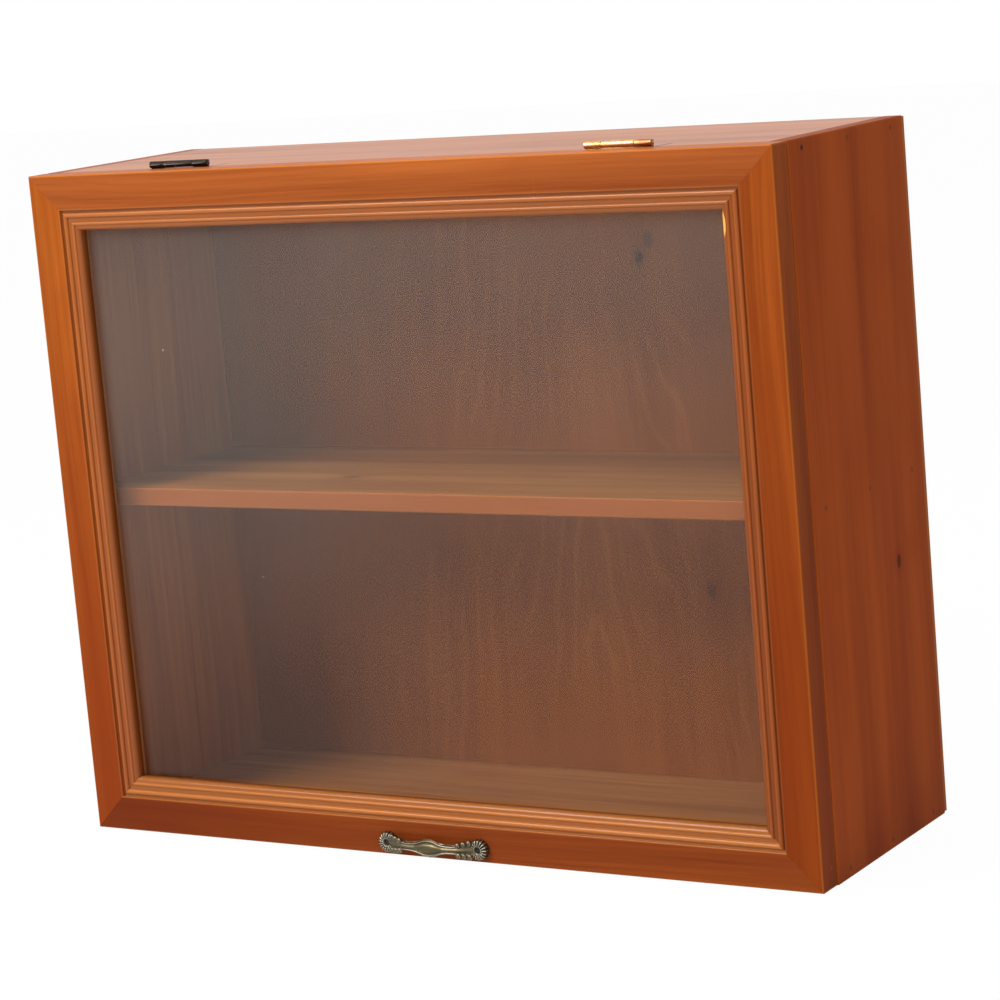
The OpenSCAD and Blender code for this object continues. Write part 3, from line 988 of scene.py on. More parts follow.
def dress(
    piece: bpy.types.Object,
    finish: bpy.types.Material,
    body: str = "",
    nodes: Sequence[str] = (),
    slot: str = "",
) -> bpy.types.Object:
    """Gives a piece its finish and, for a new piece, its place in the model.

    Args:
        piece: The piece.
        finish: Its material.
        body: The body that a new piece rides on.
        nodes: The nodes that it stands for.
        slot: Not used.

    Returns:
        The piece.
    """
    piece.data.materials.clear()
    piece.data.materials.append(finish)
    if body:
        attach(piece, body)
        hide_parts(*nodes)
    LOG.info("%s: %s", piece.name, finish.name)
    return piece


DARK_HINGE = Metal(
    "dark_hinge",
    skin=(0.030, 0.023, 0.019),
    bare=(0.330, 0.300, 0.270),
    hollow=(0.008, 0.006, 0.005),
    stain=0.8,
    rub=0.56,
    roughness=0.45,
    flaked=0.42,
)
BRIGHT_HINGE = Metal(
    "bright_hinge",
    skin=(0.720, 0.430, 0.170),
    bare=(0.900, 0.740, 0.420),
    hollow=(0.240, 0.075, 0.028),
    stain=1.0,
    tarnish=(134.0, 141.0),
    rub=0.56,
    roughness=0.3,
)
ANTIQUE_BRONZE = Metal(
    "antique_bronze",
    skin=(0.160, 0.128, 0.070),
    bare=(0.660, 0.620, 0.530),
    hollow=(0.022, 0.017, 0.010),
)
DULL_STEEL = Metal(
    "dull_steel",
    skin=(0.300, 0.290, 0.270),
    bare=(0.500, 0.490, 0.460),
    hollow=(0.090, 0.075, 0.060),
)
# Painted shade: the pull's pins are near black and barely metallic, standing in for the shade in
# their holes.
PIN_HOLE_SHADE = Metal(
    "sunk_pins",
    skin=(0.012, 0.010, 0.007),
    bare=(0.024, 0.020, 0.014),
    hollow=(0.006, 0.005, 0.004),
    metallic=0.2,
    roughness=0.75,
)


def hinge_axis() -> tuple[float, float]:
    """Returns where the door's hinge axis lies, front to back and up."""
    _, y, z = frame["joints"][0]["pos_m"]
    return y, z


ORANGE_STAIN = {
    "dark": (0.200, 0.043, 0.009),
    "light": (0.395, 0.104, 0.021),
    "patch": (0.190, 0.036, 0.009),
    "worn": (0.680, 0.230, 0.035),
}
BROWN_STAIN = {
    "dark": (0.200, 0.030, 0.004),
    "light": (0.380, 0.072, 0.009),
    "patch": (0.200, 0.024, 0.005),
    "worn": (0.460, 0.115, 0.018),
}
PLY_STAIN = {
    "dark": (0.245, 0.060, 0.009),
    "light": (0.400, 0.118, 0.018),
    "patch": (0.180, 0.044, 0.011),
    "worn": (0.450, 0.170, 0.050),
}
INNER_STAIN = {
    "dark": (0.290, 0.095, 0.026),
    "light": (0.500, 0.200, 0.062),
    "patch": (0.300, 0.072, 0.017),
    "worn": (0.520, 0.170, 0.042),
}


class Case:
    """The fixed boards, which keep their own shape and get their wood."""

    def finishes(self) -> dict[str, StainedWood]:
        """Returns the wood of each board."""
        return {
            "left_side": StainedWood(
                "left_side_wood",
                dark=PLY_STAIN["dark"],
                light=PLY_STAIN["light"],
                patch=(0.290, 0.048, 0.007),
                worn=BROWN_STAIN["worn"],
                grain=Grain.ALONG_Z,
                face=0,
                seed=3.1,
                bands=0.5,
                patches=0.2,
                fade=Fade(0, -206.4, -207.4, 0.85),
            ),
            "right_side": StainedWood(
                "right_side_wood",
                **BROWN_STAIN,
                grain=Grain.ALONG_Z,
                face=0,
                seed=11.7,
                bands=0.6,
                streaks=0.3,
                patches=0.55,
                flecks=0.15,
                index=1.15,
                gloss=0.0,
                knots=(Knot(27.0, 137.0, 2.6, 0.75),),
                chips=(Chip((207.0, -62.3, 321.0), (1.6, 0.9, 1.3)),),
            ),
            "top_board": StainedWood(
                "top_wood",
                dark=(0.200, 0.045, 0.008),
                light=(0.380, 0.120, 0.018),
                patch=(0.200, 0.046, 0.010),
                worn=(0.450, 0.150, 0.040),
                grain=Grain.ALONG_X,
                face=2,
                seed=5.2,
                gloss=0.2,
                shine=0.3,
                index=1.33,
                streaks=0.5,
                scores=(Score(147.2, -62.5, -47.0), Score(-108.8, -62.5, -49.0)),
            ),
            "bottom_board": StainedWood(
                "floor_wood", **INNER_STAIN, grain=Grain.ALONG_X, face=2, seed=8.9
            ),
            "shelf": StainedWood(
                "shelf_wood",
                **INNER_STAIN,
                grain=Grain.ALONG_X,
                face=2,
                seed=2.4,
                knots=(Knot(-20.0, -70.0, 4.0, 0.5), Knot(-59.0, -74.0, 2.0, 0.35)),
                streaks=0.5,
                fade=Fade(1, -58.0, -59.4, 0.9),
            ),
            "back_panel": StainedWood(
                "back_ply",
                **PLY_STAIN,
                grain=Grain.ALONG_Z,
                face=1,
                seed=6.6,
                bands=0.45,
                streaks=0.35,
                relief=0.01,
                rings=Cathedral(20.0, 20.0, pitch=11.0, spread=7.0, strength=0.32),
                # Painted shade: darker towards the left, where the left wall shades the back.
                fade=Fade(0, 90.0, -200.0, 0.6),
                knots=(
                    Knot(64.0, 284.0, 2.6, 0.8),
                    Knot(70.0, 293.0, 3.4, 0.45),
                    Knot(92.0, 110.0, 3.0, 0.4),
                ),
            ),
        }

    def build(self) -> None:
        """Dresses every board."""
        for node, wood in self.finishes().items():
            dress(frame["nodes"][node], wood.build(*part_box(node)))


@dataclass
class DoorFrame:
    """The four mitred members of the door, drawn from one moulded section.

    A bead is given by its radius and by its middle's distance from the inner edge.

    Attributes:
        width: Width of a member.
        thickness: Thickness of the door.
        band: Width of the moulded band next to the glass.
        sink: Depth of the band's floor below the flat.
        soft: Rounding where the flat drops to the band.
        wide_bead: The wide bead.
        narrow_bead: The narrow bead.
        inner_round: Radius of the rounded inner edge.
        edge: Rounding of the outer edges.
        lip: Depth of the lip in front of the glass.
        lip_cut: Chamfer on the lip's inner corner.
        rebate: Width of the rebate behind the lip.
        mitre_ease: Rounding where two members meet.
        recess_clear: Space round a hinge leaf in its recess.
        leaf_front: How far in front of the hinge axis a door leaf reaches.
        pin_head: Radius of a corner pin's head.
        pin_room: Space round a pin's head.
        socket: Depth of the hole for a head.
    """

    width: float = 29.0 * MM
    thickness: float = 15.0 * MM
    band: float = 10.7 * MM
    sink: float = 1.7 * MM
    soft: float = 0.35 * MM
    wide_bead: tuple[float, float] = (1.35 * MM, 8.05 * MM)
    narrow_bead: tuple[float, float] = (0.9 * MM, 3.6 * MM)
    inner_round: float = 2.4 * MM
    edge: float = 0.8 * MM
    lip: float = 7.5 * MM
    lip_cut: float = 0.3 * MM
    rebate: float = 6.0 * MM
    mitre_ease: float = 0.14 * MM
    recess_clear: float = 0.15 * MM
    leaf_front: float = 0.95 * MM
    pin_head: float = 1.0 * MM
    pin_room: float = 0.02 * MM
    socket: float = 0.7 * MM

    def section(self) -> list[tuple[float, float]]:
        """Returns the section: in from the outer edge, and back from the front."""
        inner = self.width
        step = inner - self.band
        soft = self.soft
        wide_r, wide_in = self.wide_bead
        thin_r, thin_in = self.narrow_bead
        points = arc((self.edge, self.edge), self.edge, 180, 270, 6)
        points += arc((step - soft, soft), soft, 270, 360, 4)
        points += arc((step + soft, self.sink - soft), soft, 180, 90, 4)
        points += arc((inner - wide_in, self.sink), wide_r, 180, 360, 16)
        points += arc((inner - thin_in, self.sink), thin_r, 180, 360, 12)
        round_middle = (inner - self.inner_round, self.sink + self.inner_round)
        points += arc(round_middle, self.inner_round, 270, 360, 10)
        points += [(inner, self.lip - self.lip_cut), (inner - self.lip_cut, self.lip)]
        points += [(inner - self.rebate, self.lip), (inner - self.rebate, self.thickness)]
        points += arc((self.edge, self.thickness - self.edge), self.edge, 90, 180, 6)
        return points

    def member(
        self, name: str, place: Callable[[float, float], Point], along: Vector
    ) -> bpy.types.Object:
        """Draws one member and saws its two mitres.

        Args:
            name: The new piece's name.
            place: Turns a point of the section into a point in the model.
            along: The way that the member runs, as long as the whole door.

        Returns:
            The member.
        """
        start = Vector(place(0.0, 0.0))
        inward = Vector(place(1.0, 0.0)) - start
        piece = Bench.outline(name, [place(*p) for p in self.section()])
        Bench.extrude(piece, along)
        way = along.normalized()
        Bench.saw(piece, start, inward - way)
        Bench.saw(piece, start + along, inward + way)
        return piece

    def build(self) -> None:
        """Makes the four members."""
        low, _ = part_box("door_left_stile")
        _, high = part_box("door_right_stile")
        corner_pins = self.pin_sockets()
        width = Vector((high.x - low.x, 0.0, 0.0))
        height = Vector((0.0, 0.0, high.z - low.z))
        members = {
            "left_stile": (lambda u, v: (low.x + u, low.y + v, low.z), height),
            "right_stile": (lambda u, v: (high.x - u, low.y + v, low.z), height),
            "top_rail": (lambda u, v: (low.x, low.y + v, high.z - u), width),
            "bottom_rail": (lambda u, v: (low.x, low.y + v, low.z + u), width),
        }
        for name, (place, along) in members.items():
            piece = self.member("moulded_" + name, place, along)
            if name == "top_rail":
                Bench.cut(piece, *self.leaf_recesses())
            if name in corner_pins:
                Bench.cut(piece, *corner_pins[name])
            Bench.ease(piece, self.mitre_ease)
            Bench.smooth(piece)
            Bench.modify(piece, "WEIGHTED_NORMAL", keep_sharp=True)
            node = "door_" + name
            wood = self.finishes()[name].build(*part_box(node), (low, high))
            dress(piece, wood, "door", [node], "stained_wood")

    def pin_sockets(self) -> dict[str, list[bpy.types.Object]]:
        """Returns the cutters for the heads of the corner pins in each stile."""
        low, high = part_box("door_corner_pins")
        y = (low.y + high.y) / 2
        radius = self.pin_head + self.pin_room
        sockets = {}
        for name, face, way in (("left_stile", low.x, -1), ("right_stile", high.x, 1)):
            inside, outside = face - way * self.socket, face + way * MM
            sockets[name] = [
                Bench.rod(f"{name}_socket", (inside, y, z), (outside, y, z), radius, 24)
                for z in (low.z + self.pin_head, high.z - self.pin_head)
            ]
        return sockets

    def leaf_recesses(self) -> Iterable[bpy.types.Object]:
        """Yields a cutter for each hinge leaf that is let into the top rail."""
        for side in ("left", "right"):
            low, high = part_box(f"{side}_hinge_door_leaf")
            _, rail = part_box("door_top_rail")
            clear = self.recess_clear
            face = hinge_axis()[0] - self.leaf_front
            yield Bench.block(
                f"{side}_recess",
                (low.x - clear, face, low.z - clear),
                (high.x + clear, rail.y + MM, high.z + MM),
            )

    def finishes(self) -> dict[str, StainedWood]:
        """Returns the wood of each member."""
        return {
            "left_stile": StainedWood(
                "left_stile_wood",
                dark=(0.200, 0.038, 0.005),
                light=(0.395, 0.100, 0.012),
                patch=(0.200, 0.028, 0.004),
                worn=(0.700, 0.230, 0.030),
                grain=Grain.ALONG_Z,
                seed=1.3,
                patches=0.5,
                rubbed=0.2,
                # Painted shade: darker towards the bottom, where less light falls.
                fade=Fade(2, 330.0, 40.0, 0.75),
                bands=0.75,
                streaks=0.5,
            ),
            "right_stile": StainedWood(
                "right_stile_wood",
                dark=(0.150, 0.026, 0.005),
                light=(0.320, 0.070, 0.010),
                patch=(0.170, 0.024, 0.004),
                worn=(0.620, 0.190, 0.028),
                grain=Grain.ALONG_Z,
                seed=4.4,
                rubbed=0.2,
                index=1.12,
                # Painted shade: darker towards the bottom, where less light falls.
                fade=Fade(2, 330.0, 40.0, 0.5),
                chips=(Chip((186.9, -76.2, 314.5), (1.5, 1.6, 6.0)),),
                bands=0.75,
                streaks=0.5,
            ),
            "top_rail": StainedWood(
                "top_rail_wood",
                **ORANGE_STAIN,
                grain=Grain.ALONG_X,
                seed=7.5,
                flecks=0.3,
                rubbed=0.3,
                fade=Fade(0, 0.0, 215.0, 0.25),
                bands=0.75,
                streaks=0.5,
            ),
            "bottom_rail": StainedWood(
                "bottom_rail_wood",
                dark=(0.140, 0.024, 0.005),
                light=(0.270, 0.060, 0.010),
                patch=(0.125, 0.018, 0.004),
                worn=(0.720, 0.240, 0.030),
                grain=Grain.ALONG_X,
                seed=9.8,
                patches=0.7,
                rubbed=0.5,
                edge_wear=0.15,
                fade=Fade(0, 20.0, -200.0, 0.6),
                bands=0.75,
                streaks=0.5,
            ),
        }


@dataclass
class Glazing:
    """The pane and the quarter-round strips that hold it.

    Attributes:
        next_seed: How far the grain of one strip is moved from the last one's.
    """

    next_seed: float = 2.7

    def build(self) -> None:
        """Dresses the pane and the strips."""
        dress(frame["nodes"]["glass_pane"], DustyGlassPaintedVeil().build())
        strips = {"left": Grain.ALONG_Z, "right": Grain.ALONG_Z}
        strips |= {"top": Grain.ALONG_X, "bottom": Grain.ALONG_X}
        for number, (side, grain) in enumerate(strips.items()):
            node = f"glazing_strip_{side}"
            seed = number * self.next_seed
            wood = StainedWood(f"{side}_strip_wood", **INNER_STAIN, grain=grain, seed=seed)
            dress(frame["nodes"][node], wood.build(*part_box(node)))


@dataclass
class Hinge:
    """One butt hinge with rolled knuckles, a pin with domed ends and countersunk holes for its
    screws.

    Attributes:
        side: The side that it is on, left or right.
        finish: Its metal.
        slot: The slot name that it hands to dress.
        leaf: Thickness of a leaf.
        ease: Rounding of the edges.
        end_share: Share of the length in each end knuckle.
        gap: Gap between neighbouring knuckles, and between the axis and each leaf.
        bore: Radius of the hole for the pin.
        pin: Radius of the pin.
        dome: Rounding of the pin's ends.
        rim: How far below the knuckles a leaf's edge lies.
        neck: How far below the axis the necks of the knuckles end.
        sink: Radii of a countersunk hole, wide and narrow.
        screw_head: Radius of a screw's head.
        start: Where the hinge starts across the case.
        end: Where it ends.
        radius: Radius of the knuckles.
    """

    side: str
    finish: Metal
    slot: str
    leaf: float = 0.8 * MM
    ease: float = 0.12 * MM
    end_share: float = 0.25
    gap: float = 0.15 * MM
    bore: float = 0.92 * MM
    pin: float = 0.9 * MM
    dome: float = 0.3 * MM
    rim: float = 0.25 * MM
    neck: float = 0.3 * MM
    sink: tuple[float, float] = (1.95 * MM, 1.02 * MM)
    screw_head: float = 1.8 * MM
    start: float = field(init=False)
    end: float = field(init=False)
    radius: float = field(init=False)

    def __post_init__(self) -> None:
        """Reads the hinge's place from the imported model."""
        low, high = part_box(f"{self.side}_hinge_case_leaf")
        self.start, self.end = low.x, high.x
        self.radius = high.z - hinge_axis()[1]

    def knuckle(self, name: str, start: float, end: float) -> bpy.types.Object:
        """Makes one knuckle with eased rims and a bore for the pin."""
        y, z = hinge_axis()
        rod = Bench.rod(name, (start, y, z), (end, y, z), self.radius, 40)
        Bench.ease(rod, 2 * self.ease, 3)
        past = MM
        Bench.cut(
            rod, Bench.rod(name + "_bore", (start - past, y, z), (end + past, y, z), self.bore)
        )
        return rod

    def leaf_piece(self, kind: str, spans: Sequence[tuple[float, float]]) -> bpy.types.Object:
        """Makes one leaf with its knuckles.

        Args:
            kind: Which leaf it is, case or door.
            spans: Where each knuckle starts and ends.

        Returns:
            The leaf.
        """
        low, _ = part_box(f"{self.side}_hinge_{kind}_leaf")
        y_axis, z_axis = hinge_axis()
        face = y_axis + (self.gap if kind == "case" else -self.gap - self.leaf)
        rim = z_axis - self.radius - self.rim
        neck = z_axis - self.neck
        name = f"{self.side}_{kind}_leaf"
        rise = [(self.start, rim)]
        for start, end in spans:
            rise += [(start, rim), (start, neck), (end, neck), (end, rim)]
        rise += [(self.end, rim), (self.end, low.z), (self.start, low.z)]
        rise = [point for i, point in enumerate(rise) if point != rise[i - 1]]
        plate = Bench.outline(name, [(x, face, z) for x, z in rise])
        Bench.extrude(plate, (0.0, self.leaf, 0.0))
        Bench.ease(plate, self.ease)
        for number, (start, end) in enumerate(spans):
            Bench.weld(plate, self.knuckle(f"{name}_knuckle_{number}", start, end))
        Bench.cut(plate, *self.screw_holes(kind, face))
        Bench.smooth(plate)
        Bench.modify(plate, "WEIGHTED_NORMAL", keep_sharp=True)
        return plate

    def screw_holes(self, kind: str, face: float) -> Iterable[bpy.types.Object]:
        """Yields a cone for each countersunk hole of a leaf."""
        way = 1 if kind == "case" else -1
        past = 0.01 * MM
        for x, z in self.screw_places():
            front, back = (face - past, face + self.leaf + past)[::way]
            yield Bench.cone(f"{self.side}_{kind}_hole", (x, front, z), back, self.sink)

    def screw_places(self) -> list[tuple[float, float]]:
        """Returns where the hinge's screws are, across and up."""
        low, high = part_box("case_hinge_screws")
        middle = (self.start + self.end) / 2
        reach = high.x - abs(middle) - self.screw_head
        level = (low.z + high.z) / 2
        return [(middle - reach, level), (middle + reach, level)]

    def build(self) -> None:
        """Makes both leaves and the pin."""
        cut_a = self.start + (self.end - self.start) * self.end_share
        cut_b = self.end - (self.end - self.start) * self.end_share
        metal = self.finish.build()
        case = self.leaf_piece("case", [(self.start, cut_a), (cut_b, self.end)])
        door = self.leaf_piece("door", [(cut_a + self.gap, cut_b - self.gap)])
        dress(case, metal, "case", [f"{self.side}_hinge_case_leaf"], self.slot)
        dress(door, metal, "door", [f"{self.side}_hinge_door_leaf"], self.slot)
        node = f"{self.side}_hinge_pin"
        low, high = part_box(node)
        y, z = hinge_axis()
        pin = Bench.rod(f"{self.side}_pin", (low.x, y, z), (high.x, y, z), self.pin, 28)
        Bench.ease(pin, self.dome, 3)
        Bench.smooth(pin, 50.0)
        dress(pin, metal, "case", [node], self.slot)


@dataclass
class HingeScrews:
    """The slotted countersunk screws, gathered into one piece for each body.

    Attributes:
        hinges: The hinges that they hold, already built.
        slot_width: Width of a screw's slot.
        slot_depth: Depth of its slot.
        head: Depth of the countersunk head.
        shank: Radius of the shank.
        first_turn: The angle of the first screw's slot, in degrees.
        next_turn: What is added to it from screw to screw.
    """

    hinges: Sequence[Hinge]
    slot_width: float = 0.5 * MM
    slot_depth: float = 0.4 * MM
    head: float = 0.8 * MM
    shank: float = 0.95 * MM
    first_turn: float = 25.0
    next_turn: float = 47.0

    def build(self, metal: bpy.types.Material) -> None:
        """Makes the screws of both bodies in one metal."""
        places = [place for hinge in self.hinges for place in hinge.screw_places()]
        for body, way in (("case", 1), ("door", -1)):
            node = f"{body}_hinge_screws"
            low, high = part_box(node)
            top, tip = (low.y, high.y) if way > 0 else (high.y, low.y)
            radius = (high.z - low.z) / 2
            screws = []
            for i, place in enumerate(places):
                turn = self.first_turn + self.next_turn * i
                screws.append(self.screw(f"{body}_screw_{i}", place, (top, tip), radius, turn))
            dress(Bench.gather(f"slotted_{body}_screws", screws), metal, body, [node], "steel")

    def screw(
        self,
        name: str,
        place: tuple[float, float],
        reach: tuple[float, float],
        radius: float,
        turn: float,
    ) -> bpy.types.Object:
        """Makes one screw.

        Args:
            name: Its name.
            place: Where it is, across and up.
            reach: Where its head's face and its tip are, front to back.
            radius: Radius of its head.
            turn: The angle of its slot, in degrees.

        Returns:
            The screw.
        """
        x, z = place
        top, tip = reach
        way = math.copysign(1.0, tip - top)
        screw = Bench.cone(name, (x, top, z), top + way * self.head, (radius, self.shank))
        neck = top + way * self.head * 0.9
        Bench.weld(screw, Bench.rod(name + "_shank", (x, neck, z), (x, tip, z), self.shank, 20))
        angle = math.radians(turn)
        long, wide = 2 * radius, self.slot_width / 2
        across, up = math.cos(angle), math.sin(angle)
        rectangle = [
            (x + u * across - v * up, top - way * MM, z + u * up + v * across)
            for u, v in ((-long, -wide), (long, -wide), (long, wide), (-long, wide))
        ]
        slot = Bench.outline(name + "_slot", rectangle)
        Bench.extrude(slot, (0.0, way * (MM + self.slot_depth), 0.0))
        Bench.cut(screw, slot)
        Bench.smooth(screw)
        return screw


@dataclass
class Pull:
    """The cast pull: two lobed rosettes, stepped scrolls, a rimmed grip and an almond boss.

    Attributes:
        lobes: How many lobes each rosette has.
        voxel: Size of the grain to which the casting is fused.
        spare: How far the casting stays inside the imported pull's reach.
        pin_head: Radius of the head of a pin in a rosette.
        rosette_depth: Depth of a rosette's plain rim.
        rosette_radius: Radius of a rosette between two lobes.
        lobe_rise: How much farther out a lobe reaches.
        grid: Into how many cells the grip is divided, along and across.
        grip_wall: Thickness of the grip.
        grip_gap: How far short of the pins the grip ends.
        crown: How far below the pull's reach the grip's middle line lies.
        foot: How far off the door the grip's ends lie.
        waist: Half the grip's width where it is narrow.
        belly: How much wider it gets at its middle, and over what reach.
        flare: How much wider it gets at its ends.
        flare_span: Where the flare starts, and its length.
        rim: Height of the rim along each edge of the grip.
        keel: Height of the keel along its middle.
        droop: How far its edges bend down to the door.
        boss_size: Half the boss's length, depth and height.
        scroll_place: How far from a pin the first scroll is, along and up.
        scroll_step: How far each next scroll is from the last one, along and down.
        scroll_size: Half the first scroll's size, and how much less the next ones have.
        scroll_depth: Half a scroll's depth.
        curl_wire: Radius of the wire of a scroll's curl.
        middle: Middle of the pull.
        wall: Where the door's face lies.
        rise: How far the pull stands off the door.
        hole: How far each pin is from the middle.
    """

    lobes: int = 17
    voxel: float = 0.17 * MM
    spare: float = 0.35 * MM
    pin_head: float = 1.4 * MM
    rosette_depth: float = 2.2 * MM
    rosette_radius: float = 4.55 * MM
    lobe_rise: float = 0.9 * MM
    grid: tuple[int, int] = (150, 24)
    grip_wall: float = 2.0 * MM
    grip_gap: float = 1.5 * MM
    crown: float = 1.1 * MM
    foot: float = 2.0 * MM
    waist: float = 2.15 * MM
    belly: tuple[float, float] = (2.7 * MM, 6.2 * MM)
    flare: float = 0.9 * MM
    flare_span: tuple[float, float] = (14.0 * MM, 8.0 * MM)
    rim: float = 0.75 * MM
    keel: float = 0.55 * MM
    droop: float = 1.0 * MM
    boss_size: tuple[float, float, float] = (8.6 * MM, 1.2 * MM, 2.6 * MM)
    scroll_place: tuple[float, float] = (4.1 * MM, 3.5 * MM)
    scroll_step: tuple[float, float] = (2.75 * MM, 0.45 * MM)
    scroll_size: tuple[float, float] = (1.4 * MM, 0.1 * MM)
    scroll_depth: float = 1.5 * MM
    curl_wire: float = 0.42 * MM
    middle: Vector = field(init=False)
    wall: float = field(init=False)
    rise: float = field(init=False)
    hole: float = field(init=False)

    def __post_init__(self) -> None:
        """Reads the pull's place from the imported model."""
        low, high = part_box("pull_handle")
        _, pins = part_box("pull_pins")
        self.middle = (low + high) / 2
        self.wall = high.y
        self.rise = high.y - low.y - self.spare
        self.hole = pins.x - self.pin_head

    def build(self) -> None:
        """Makes the pull from its parts, fused as one casting."""
        parts = [self.grip()]
        for side in (-1, 1):
            parts.append(self.rosette(side))
            parts += self.scrolls(side)
        parts.append(self.boss())
        casting = Bench.gather("cast_pull", parts)
        Bench.modify(casting, "REMESH", mode="VOXEL", voxel_size=self.voxel)
        Bench.modify(casting, "SMOOTH", factor=0.5, iterations=3)
        Bench.smooth(casting, 60.0)
        dress(casting, ANTIQUE_BRONZE.build(), "door", ["pull_handle"], "antique_bronze")

    def half_width(self, x: float) -> float:
        """Returns half the grip's width at a distance from its middle."""
        wider, reach = self.belly
        start, length = self.flare_span
        flared = max(0.0, min(1.0, (abs(x) - start) / length))
        return self.waist + wider * hump(x, 0.0, reach, 2.4) + self.flare * flared

    def height(self, x: float) -> float:
        """Returns how far the grip's middle line stands off the door."""
        share = min(1.0, abs(x) / self.hole)
        top = self.rise - self.crown
        return top - (top - self.foot) * share**3.2

    def grip(self) -> bpy.types.Object:
        """Raises the rimmed grip from a fine grid and gives it its thickness."""
        Bench.clear()
        columns, rows = self.grid
        bpy.ops.mesh.primitive_grid_add(x_subdivisions=columns, y_subdivisions=rows, size=2.0)
        grip = Bench.settle("grip")
        reach = self.hole - self.grip_gap
        for vertex in grip.data.vertices:
            along, across = vertex.co.x, vertex.co.y
            x = along * reach
            rim = self.rim * hump(abs(across), 0.80, 0.13)
            keel = self.keel * hump(across, 0.0, 0.30)
            out = self.height(x) + rim + keel - self.droop * across**4
            vertex.co = (
                self.middle.x + x,
                self.wall - out,
                self.middle.z + across * self.half_width(x),
            )
        Bench.modify(grip, "SOLIDIFY", thickness=self.grip_wall, offset=-1.0)
        Bench.all_faces(grip)
        bpy.ops.mesh.normals_make_consistent(inside=False)
        Bench.out()
        return grip

    def rosette(self, side: int) -> bpy.types.Object:
        """Makes a lobed rosette with a sunk middle round its pin."""
        Bench.clear()
        sides = 6 * self.lobes
        half = self.rosette_depth / 2
        middle = Vector((side * self.hole, self.wall - half, self.middle.z))
        bpy.ops.mesh.primitive_cylinder_add(
            vertices=sides,
            radius=1.0,
            depth=self.rosette_depth,
            location=middle,
            rotation=(math.pi / 2, 0.0, 0.0),
        )
        rosette = Bench.settle("rosette")
        front = middle.y - half
        Bench.pick(rosette, lambda face: face.normal.y < -0.9)
        for _ in range(9):
            bpy.ops.mesh.inset(thickness=0.1)
        Bench.out()
        for vertex in rosette.data.vertices:
            across, up = vertex.co.x - middle.x, vertex.co.z - middle.z
            share = math.hypot(across, up)
            turn = math.atan2(up, across)
            lobe = abs(math.cos(turn * self.lobes / 2))
            radius = (self.rosette_radius + self.lobe_rise * lobe) * share
            vertex.co.x = middle.x + radius * math.cos(turn)
            vertex.co.z = middle.z + radius * math.sin(turn)
            if abs(vertex.co.y - front) < 0.2 * MM:
                vertex.co.y = front - self.relief(share, lobe)
        return rosette

    def relief(self, share: float, lobe: float) -> float:
        """Returns a rosette's height above its rim at a share of its radius."""
        petal = 1.5 * math.sin(math.pi * min(1.0, share)) ** 0.6 * (0.1 + 0.9 * lobe)
        collar = 0.9 * hump(share, 0.36, 0.10)
        well = -1.2 * hump(share, 0.0, 0.26, 4.0)
        shoulder = -0.9 * max(0.0, share - 0.9) / 0.1
        fade = max(0.0, min(1.0, (share - 0.3) / 0.3))
        return (petal * fade + collar + well + shoulder + 0.2) * MM

    def scrolls(self, side: int) -> list[bpy.types.Object]:
        """Makes three scroll knobs on each edge, stepping down to the neck."""
        along, above = self.scroll_place
        next_along, next_down = self.scroll_step
        first_size, next_less = self.scroll_size
        depth = self.scroll_depth
        parts = []
        for step in range(3):
            for up in (-1, 1):
                x = side * (self.hole - along - next_along * step)
                z = self.middle.z + up * (above - next_down * step)
                y = self.wall - self.height(x) + 0.1 * MM
                size = first_size - next_less * step
                knob = Bench.ball("knob", (x, y, z), (size, depth, size * 1.1), 10)
                curl = Bench.ring("curl", (x, y - depth / 2, z), size * 0.72, self.curl_wire)
                parts += [knob, curl]
        return parts

    def boss(self) -> bpy.types.Object:
        """Makes the almond-shaped boss at the grip's middle."""
        centre = (self.middle.x, self.wall - self.height(0.0) - 0.1 * MM, self.middle.z)
        boss = Bench.ball("boss", centre, self.boss_size, 24)
        for vertex in boss.data.vertices:
            share = abs(vertex.co.x - self.middle.x) / self.boss_size[0]
            pinch = 1.0 - 0.35 * share**2
            vertex.co.z = self.middle.z + (vertex.co.z - self.middle.z) * pinch
        return boss


@dataclass
class Fixings:
    """Nails and pins, which keep their own shape, and the hinge screws.

    Attributes:
        hinges: The hinges that the screws hold.
        nail_head: Radius of a nail's head, in millimetres.
    """

    hinges: Sequence[Hinge]
    nail_head: float = 1.3

    def build(self) -> None:
        """Gives each kind its finish."""
        low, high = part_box("case_nails")
        top_front = (high.x / MM, low.y / MM + self.nail_head, high.z / MM - self.nail_head)
        finishes = {
            "case_nails": FilledHeads("filled_nail_heads", (0.210, 0.040, 0.008), top_front),
            "door_corner_pins": FilledHeads("stained_stopping", (0.260, 0.055, 0.009)),
            "pull_pins": PIN_HOLE_SHADE,
        }
        for node, finish in finishes.items():
            dress(frame["nodes"][node], finish.build())
        steel = DULL_STEEL.build()
        for node in ("back_panel_pins", "glazing_pins"):
            dress(frame["nodes"][node], steel)
        HingeScrews(self.hinges).build(steel)


@dataclass(frozen=True)
class Lamp:
    """A soft square lamp that points at the case.

    Attributes:
        name: Its name.
        place: Where it hangs.
        size: Width of its face.
        power: Its power in watts.
        tint: Its colour.
    """

    name: str
    place: tuple[float, float, float]
    size: float
    power: float
    tint: Colour = (1.0, 1.0, 1.0)


LAMPS = (
    Lamp("key", (-0.9, -1.5, 1.6), 1.1, 44.0, (1.0, 0.98, 0.95)),
    Lamp("fill", (1.6, -2.0, 0.9), 1.4, 11.0, (0.97, 0.98, 1.0)),
    Lamp("top", (0.0, -0.2, 2.1), 1.2, 24.0),
)


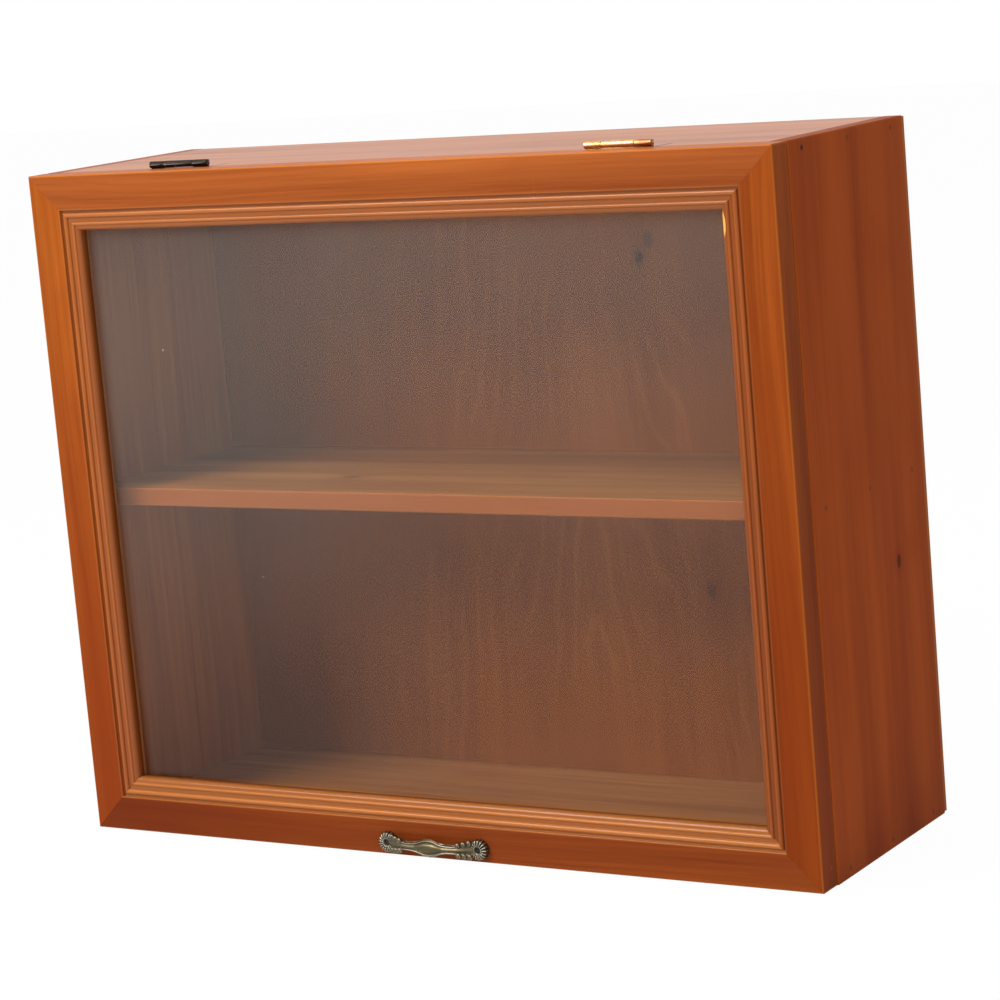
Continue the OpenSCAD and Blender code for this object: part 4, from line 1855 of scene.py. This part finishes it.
@dataclass
class Studio:
    """The camera, the lamps, the floor and the white surroundings.

    Attributes:
        eye: The camera's place.
        azimuth: Its bearing in degrees, from the front towards the right.
        elevation: Its height above the horizon in degrees.
        roll: How far its right-hand side dips, in degrees.
        lens: Its focal length in millimetres.
        sensor: Width of its sensor in millimetres.
        aim: The point that the lamps look at.
        floor_width: Width of the floor.
        floor_drop: How far the floor lies below the case.
        floor_grey: How pale the floor is.
        floor_white: How much of the floor shows plain white.
        sky_light: Strength of the surroundings where they only give light.
    """

    eye: Point = (0.86036, -1.35578, 0.45116)
    azimuth: float = 32.20
    elevation: float = 10.01
    roll: float = 4.94
    lens: float = 114.44
    sensor: float = 36.0
    aim: tuple[float, float, float] = (0.0, 0.0, 0.17)
    floor_width: float = 12.0
    floor_drop: float = 0.2 * MM
    floor_grey: float = 0.78
    floor_white: float = 0.975
    sky_light: float = 0.40

    def camera(self) -> None:
        """Places the camera."""
        turn, tilt = math.radians(self.azimuth), math.radians(self.elevation)
        back = Vector(
            (math.sin(turn) * math.cos(tilt), -math.cos(turn) * math.cos(tilt), math.sin(tilt))
        )
        right = Vector((math.cos(turn), math.sin(turn), 0.0))
        up = back.cross(right)
        dip = math.radians(self.roll)
        right, up = (
            right * math.cos(dip) - up * math.sin(dip),
            up * math.cos(dip) + right * math.sin(dip),
        )
        Bench.clear()
        bpy.ops.object.camera_add(location=self.eye)
        camera = bpy.context.object
        camera.data.lens = self.lens
        camera.data.sensor_width = self.sensor
        axes = Matrix((right, up, back)).transposed()
        camera.rotation_euler = axes.to_euler()
        bpy.context.scene.camera = camera

    def hang(self, lamp: Lamp) -> None:
        """Adds a lamp that points at the case."""
        Bench.clear()
        bpy.ops.object.light_add(type="AREA", location=lamp.place)
        made = bpy.context.object
        made.name = lamp.name
        made.data.size = lamp.size
        made.data.energy = lamp.power
        made.data.color = lamp.tint
        way = Vector(self.aim) - Vector(lamp.place)
        made.rotation_euler = way.to_track_quat("-Z", "Y").to_euler()

    def seen(self, g: Graph) -> Value:
        """Returns 1 where the surroundings are seen, straight on, in gloss or through glass."""
        ray = g.node("ShaderNodeLightPath")
        straight = g.most(g.value(ray, "Is Camera Ray"), g.value(ray, "Is Glossy Ray"))
        return g.most(straight, g.value(ray, "Is Transmission Ray"))

    def floor(self) -> None:
        """Adds a pale floor that shows white and keeps a soft shadow."""
        Bench.clear()
        level = (0.0, 0.0, -self.floor_drop)
        bpy.ops.mesh.primitive_plane_add(size=self.floor_width, location=level)
        floor = Bench.settle("floor")
        g = Graph("pale_floor")
        matt = g.principled({"Base Color": (self.floor_grey,) * 3, "Roughness": 0.9})
        white = g.node("ShaderNodeEmission", inputs={0: (1.0, 1.0, 1.0, 1.0), 1: 1.0}).outputs[0]
        floor.data.materials.append(g.done(g.blend(self.seen(g) * self.floor_white, matt, white)))

    def sky(self) -> None:
        """Fills the surroundings with white where they are seen, and with soft light elsewhere."""
        world = bpy.data.worlds.new("surroundings")
        bpy.context.scene.world = world
        world.use_nodes = True
        g = Graph.of_world(world)
        strength = g.node(
            "ShaderNodeMapRange", inputs={0: self.seen(g), 3: self.sky_light, 4: 1.0}
        )
        background = g.node(
            "ShaderNodeBackground",
            inputs={"Color": (1.0, 1.0, 1.0, 1.0), "Strength": strength.outputs[0]},
        )
        g.tree.links.new(background.outputs[0], g.output.inputs["Surface"])

    def build(self) -> None:
        """Sets up everything round the case."""
        bpy.context.scene.view_settings.view_transform = "Standard"
        self.camera()
        self.floor()
        self.sky()
        for lamp in LAMPS:
            self.hang(lamp)


def main() -> None:
    """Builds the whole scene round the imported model."""
    logging.basicConfig(level=logging.INFO, format="%(name)s: %(message)s")
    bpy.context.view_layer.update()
    Studio().build()
    Case().build()
    DoorFrame().build()
    Glazing().build()
    hinges = [
        Hinge("left", DARK_HINGE, "dark_bronze"),
        Hinge("right", BRIGHT_HINGE, "bright_brass"),
    ]
    for hinge in hinges:
        hinge.build()
    Pull().build()
    Fixings(hinges).build()


if __name__ == "__main__":
    main()
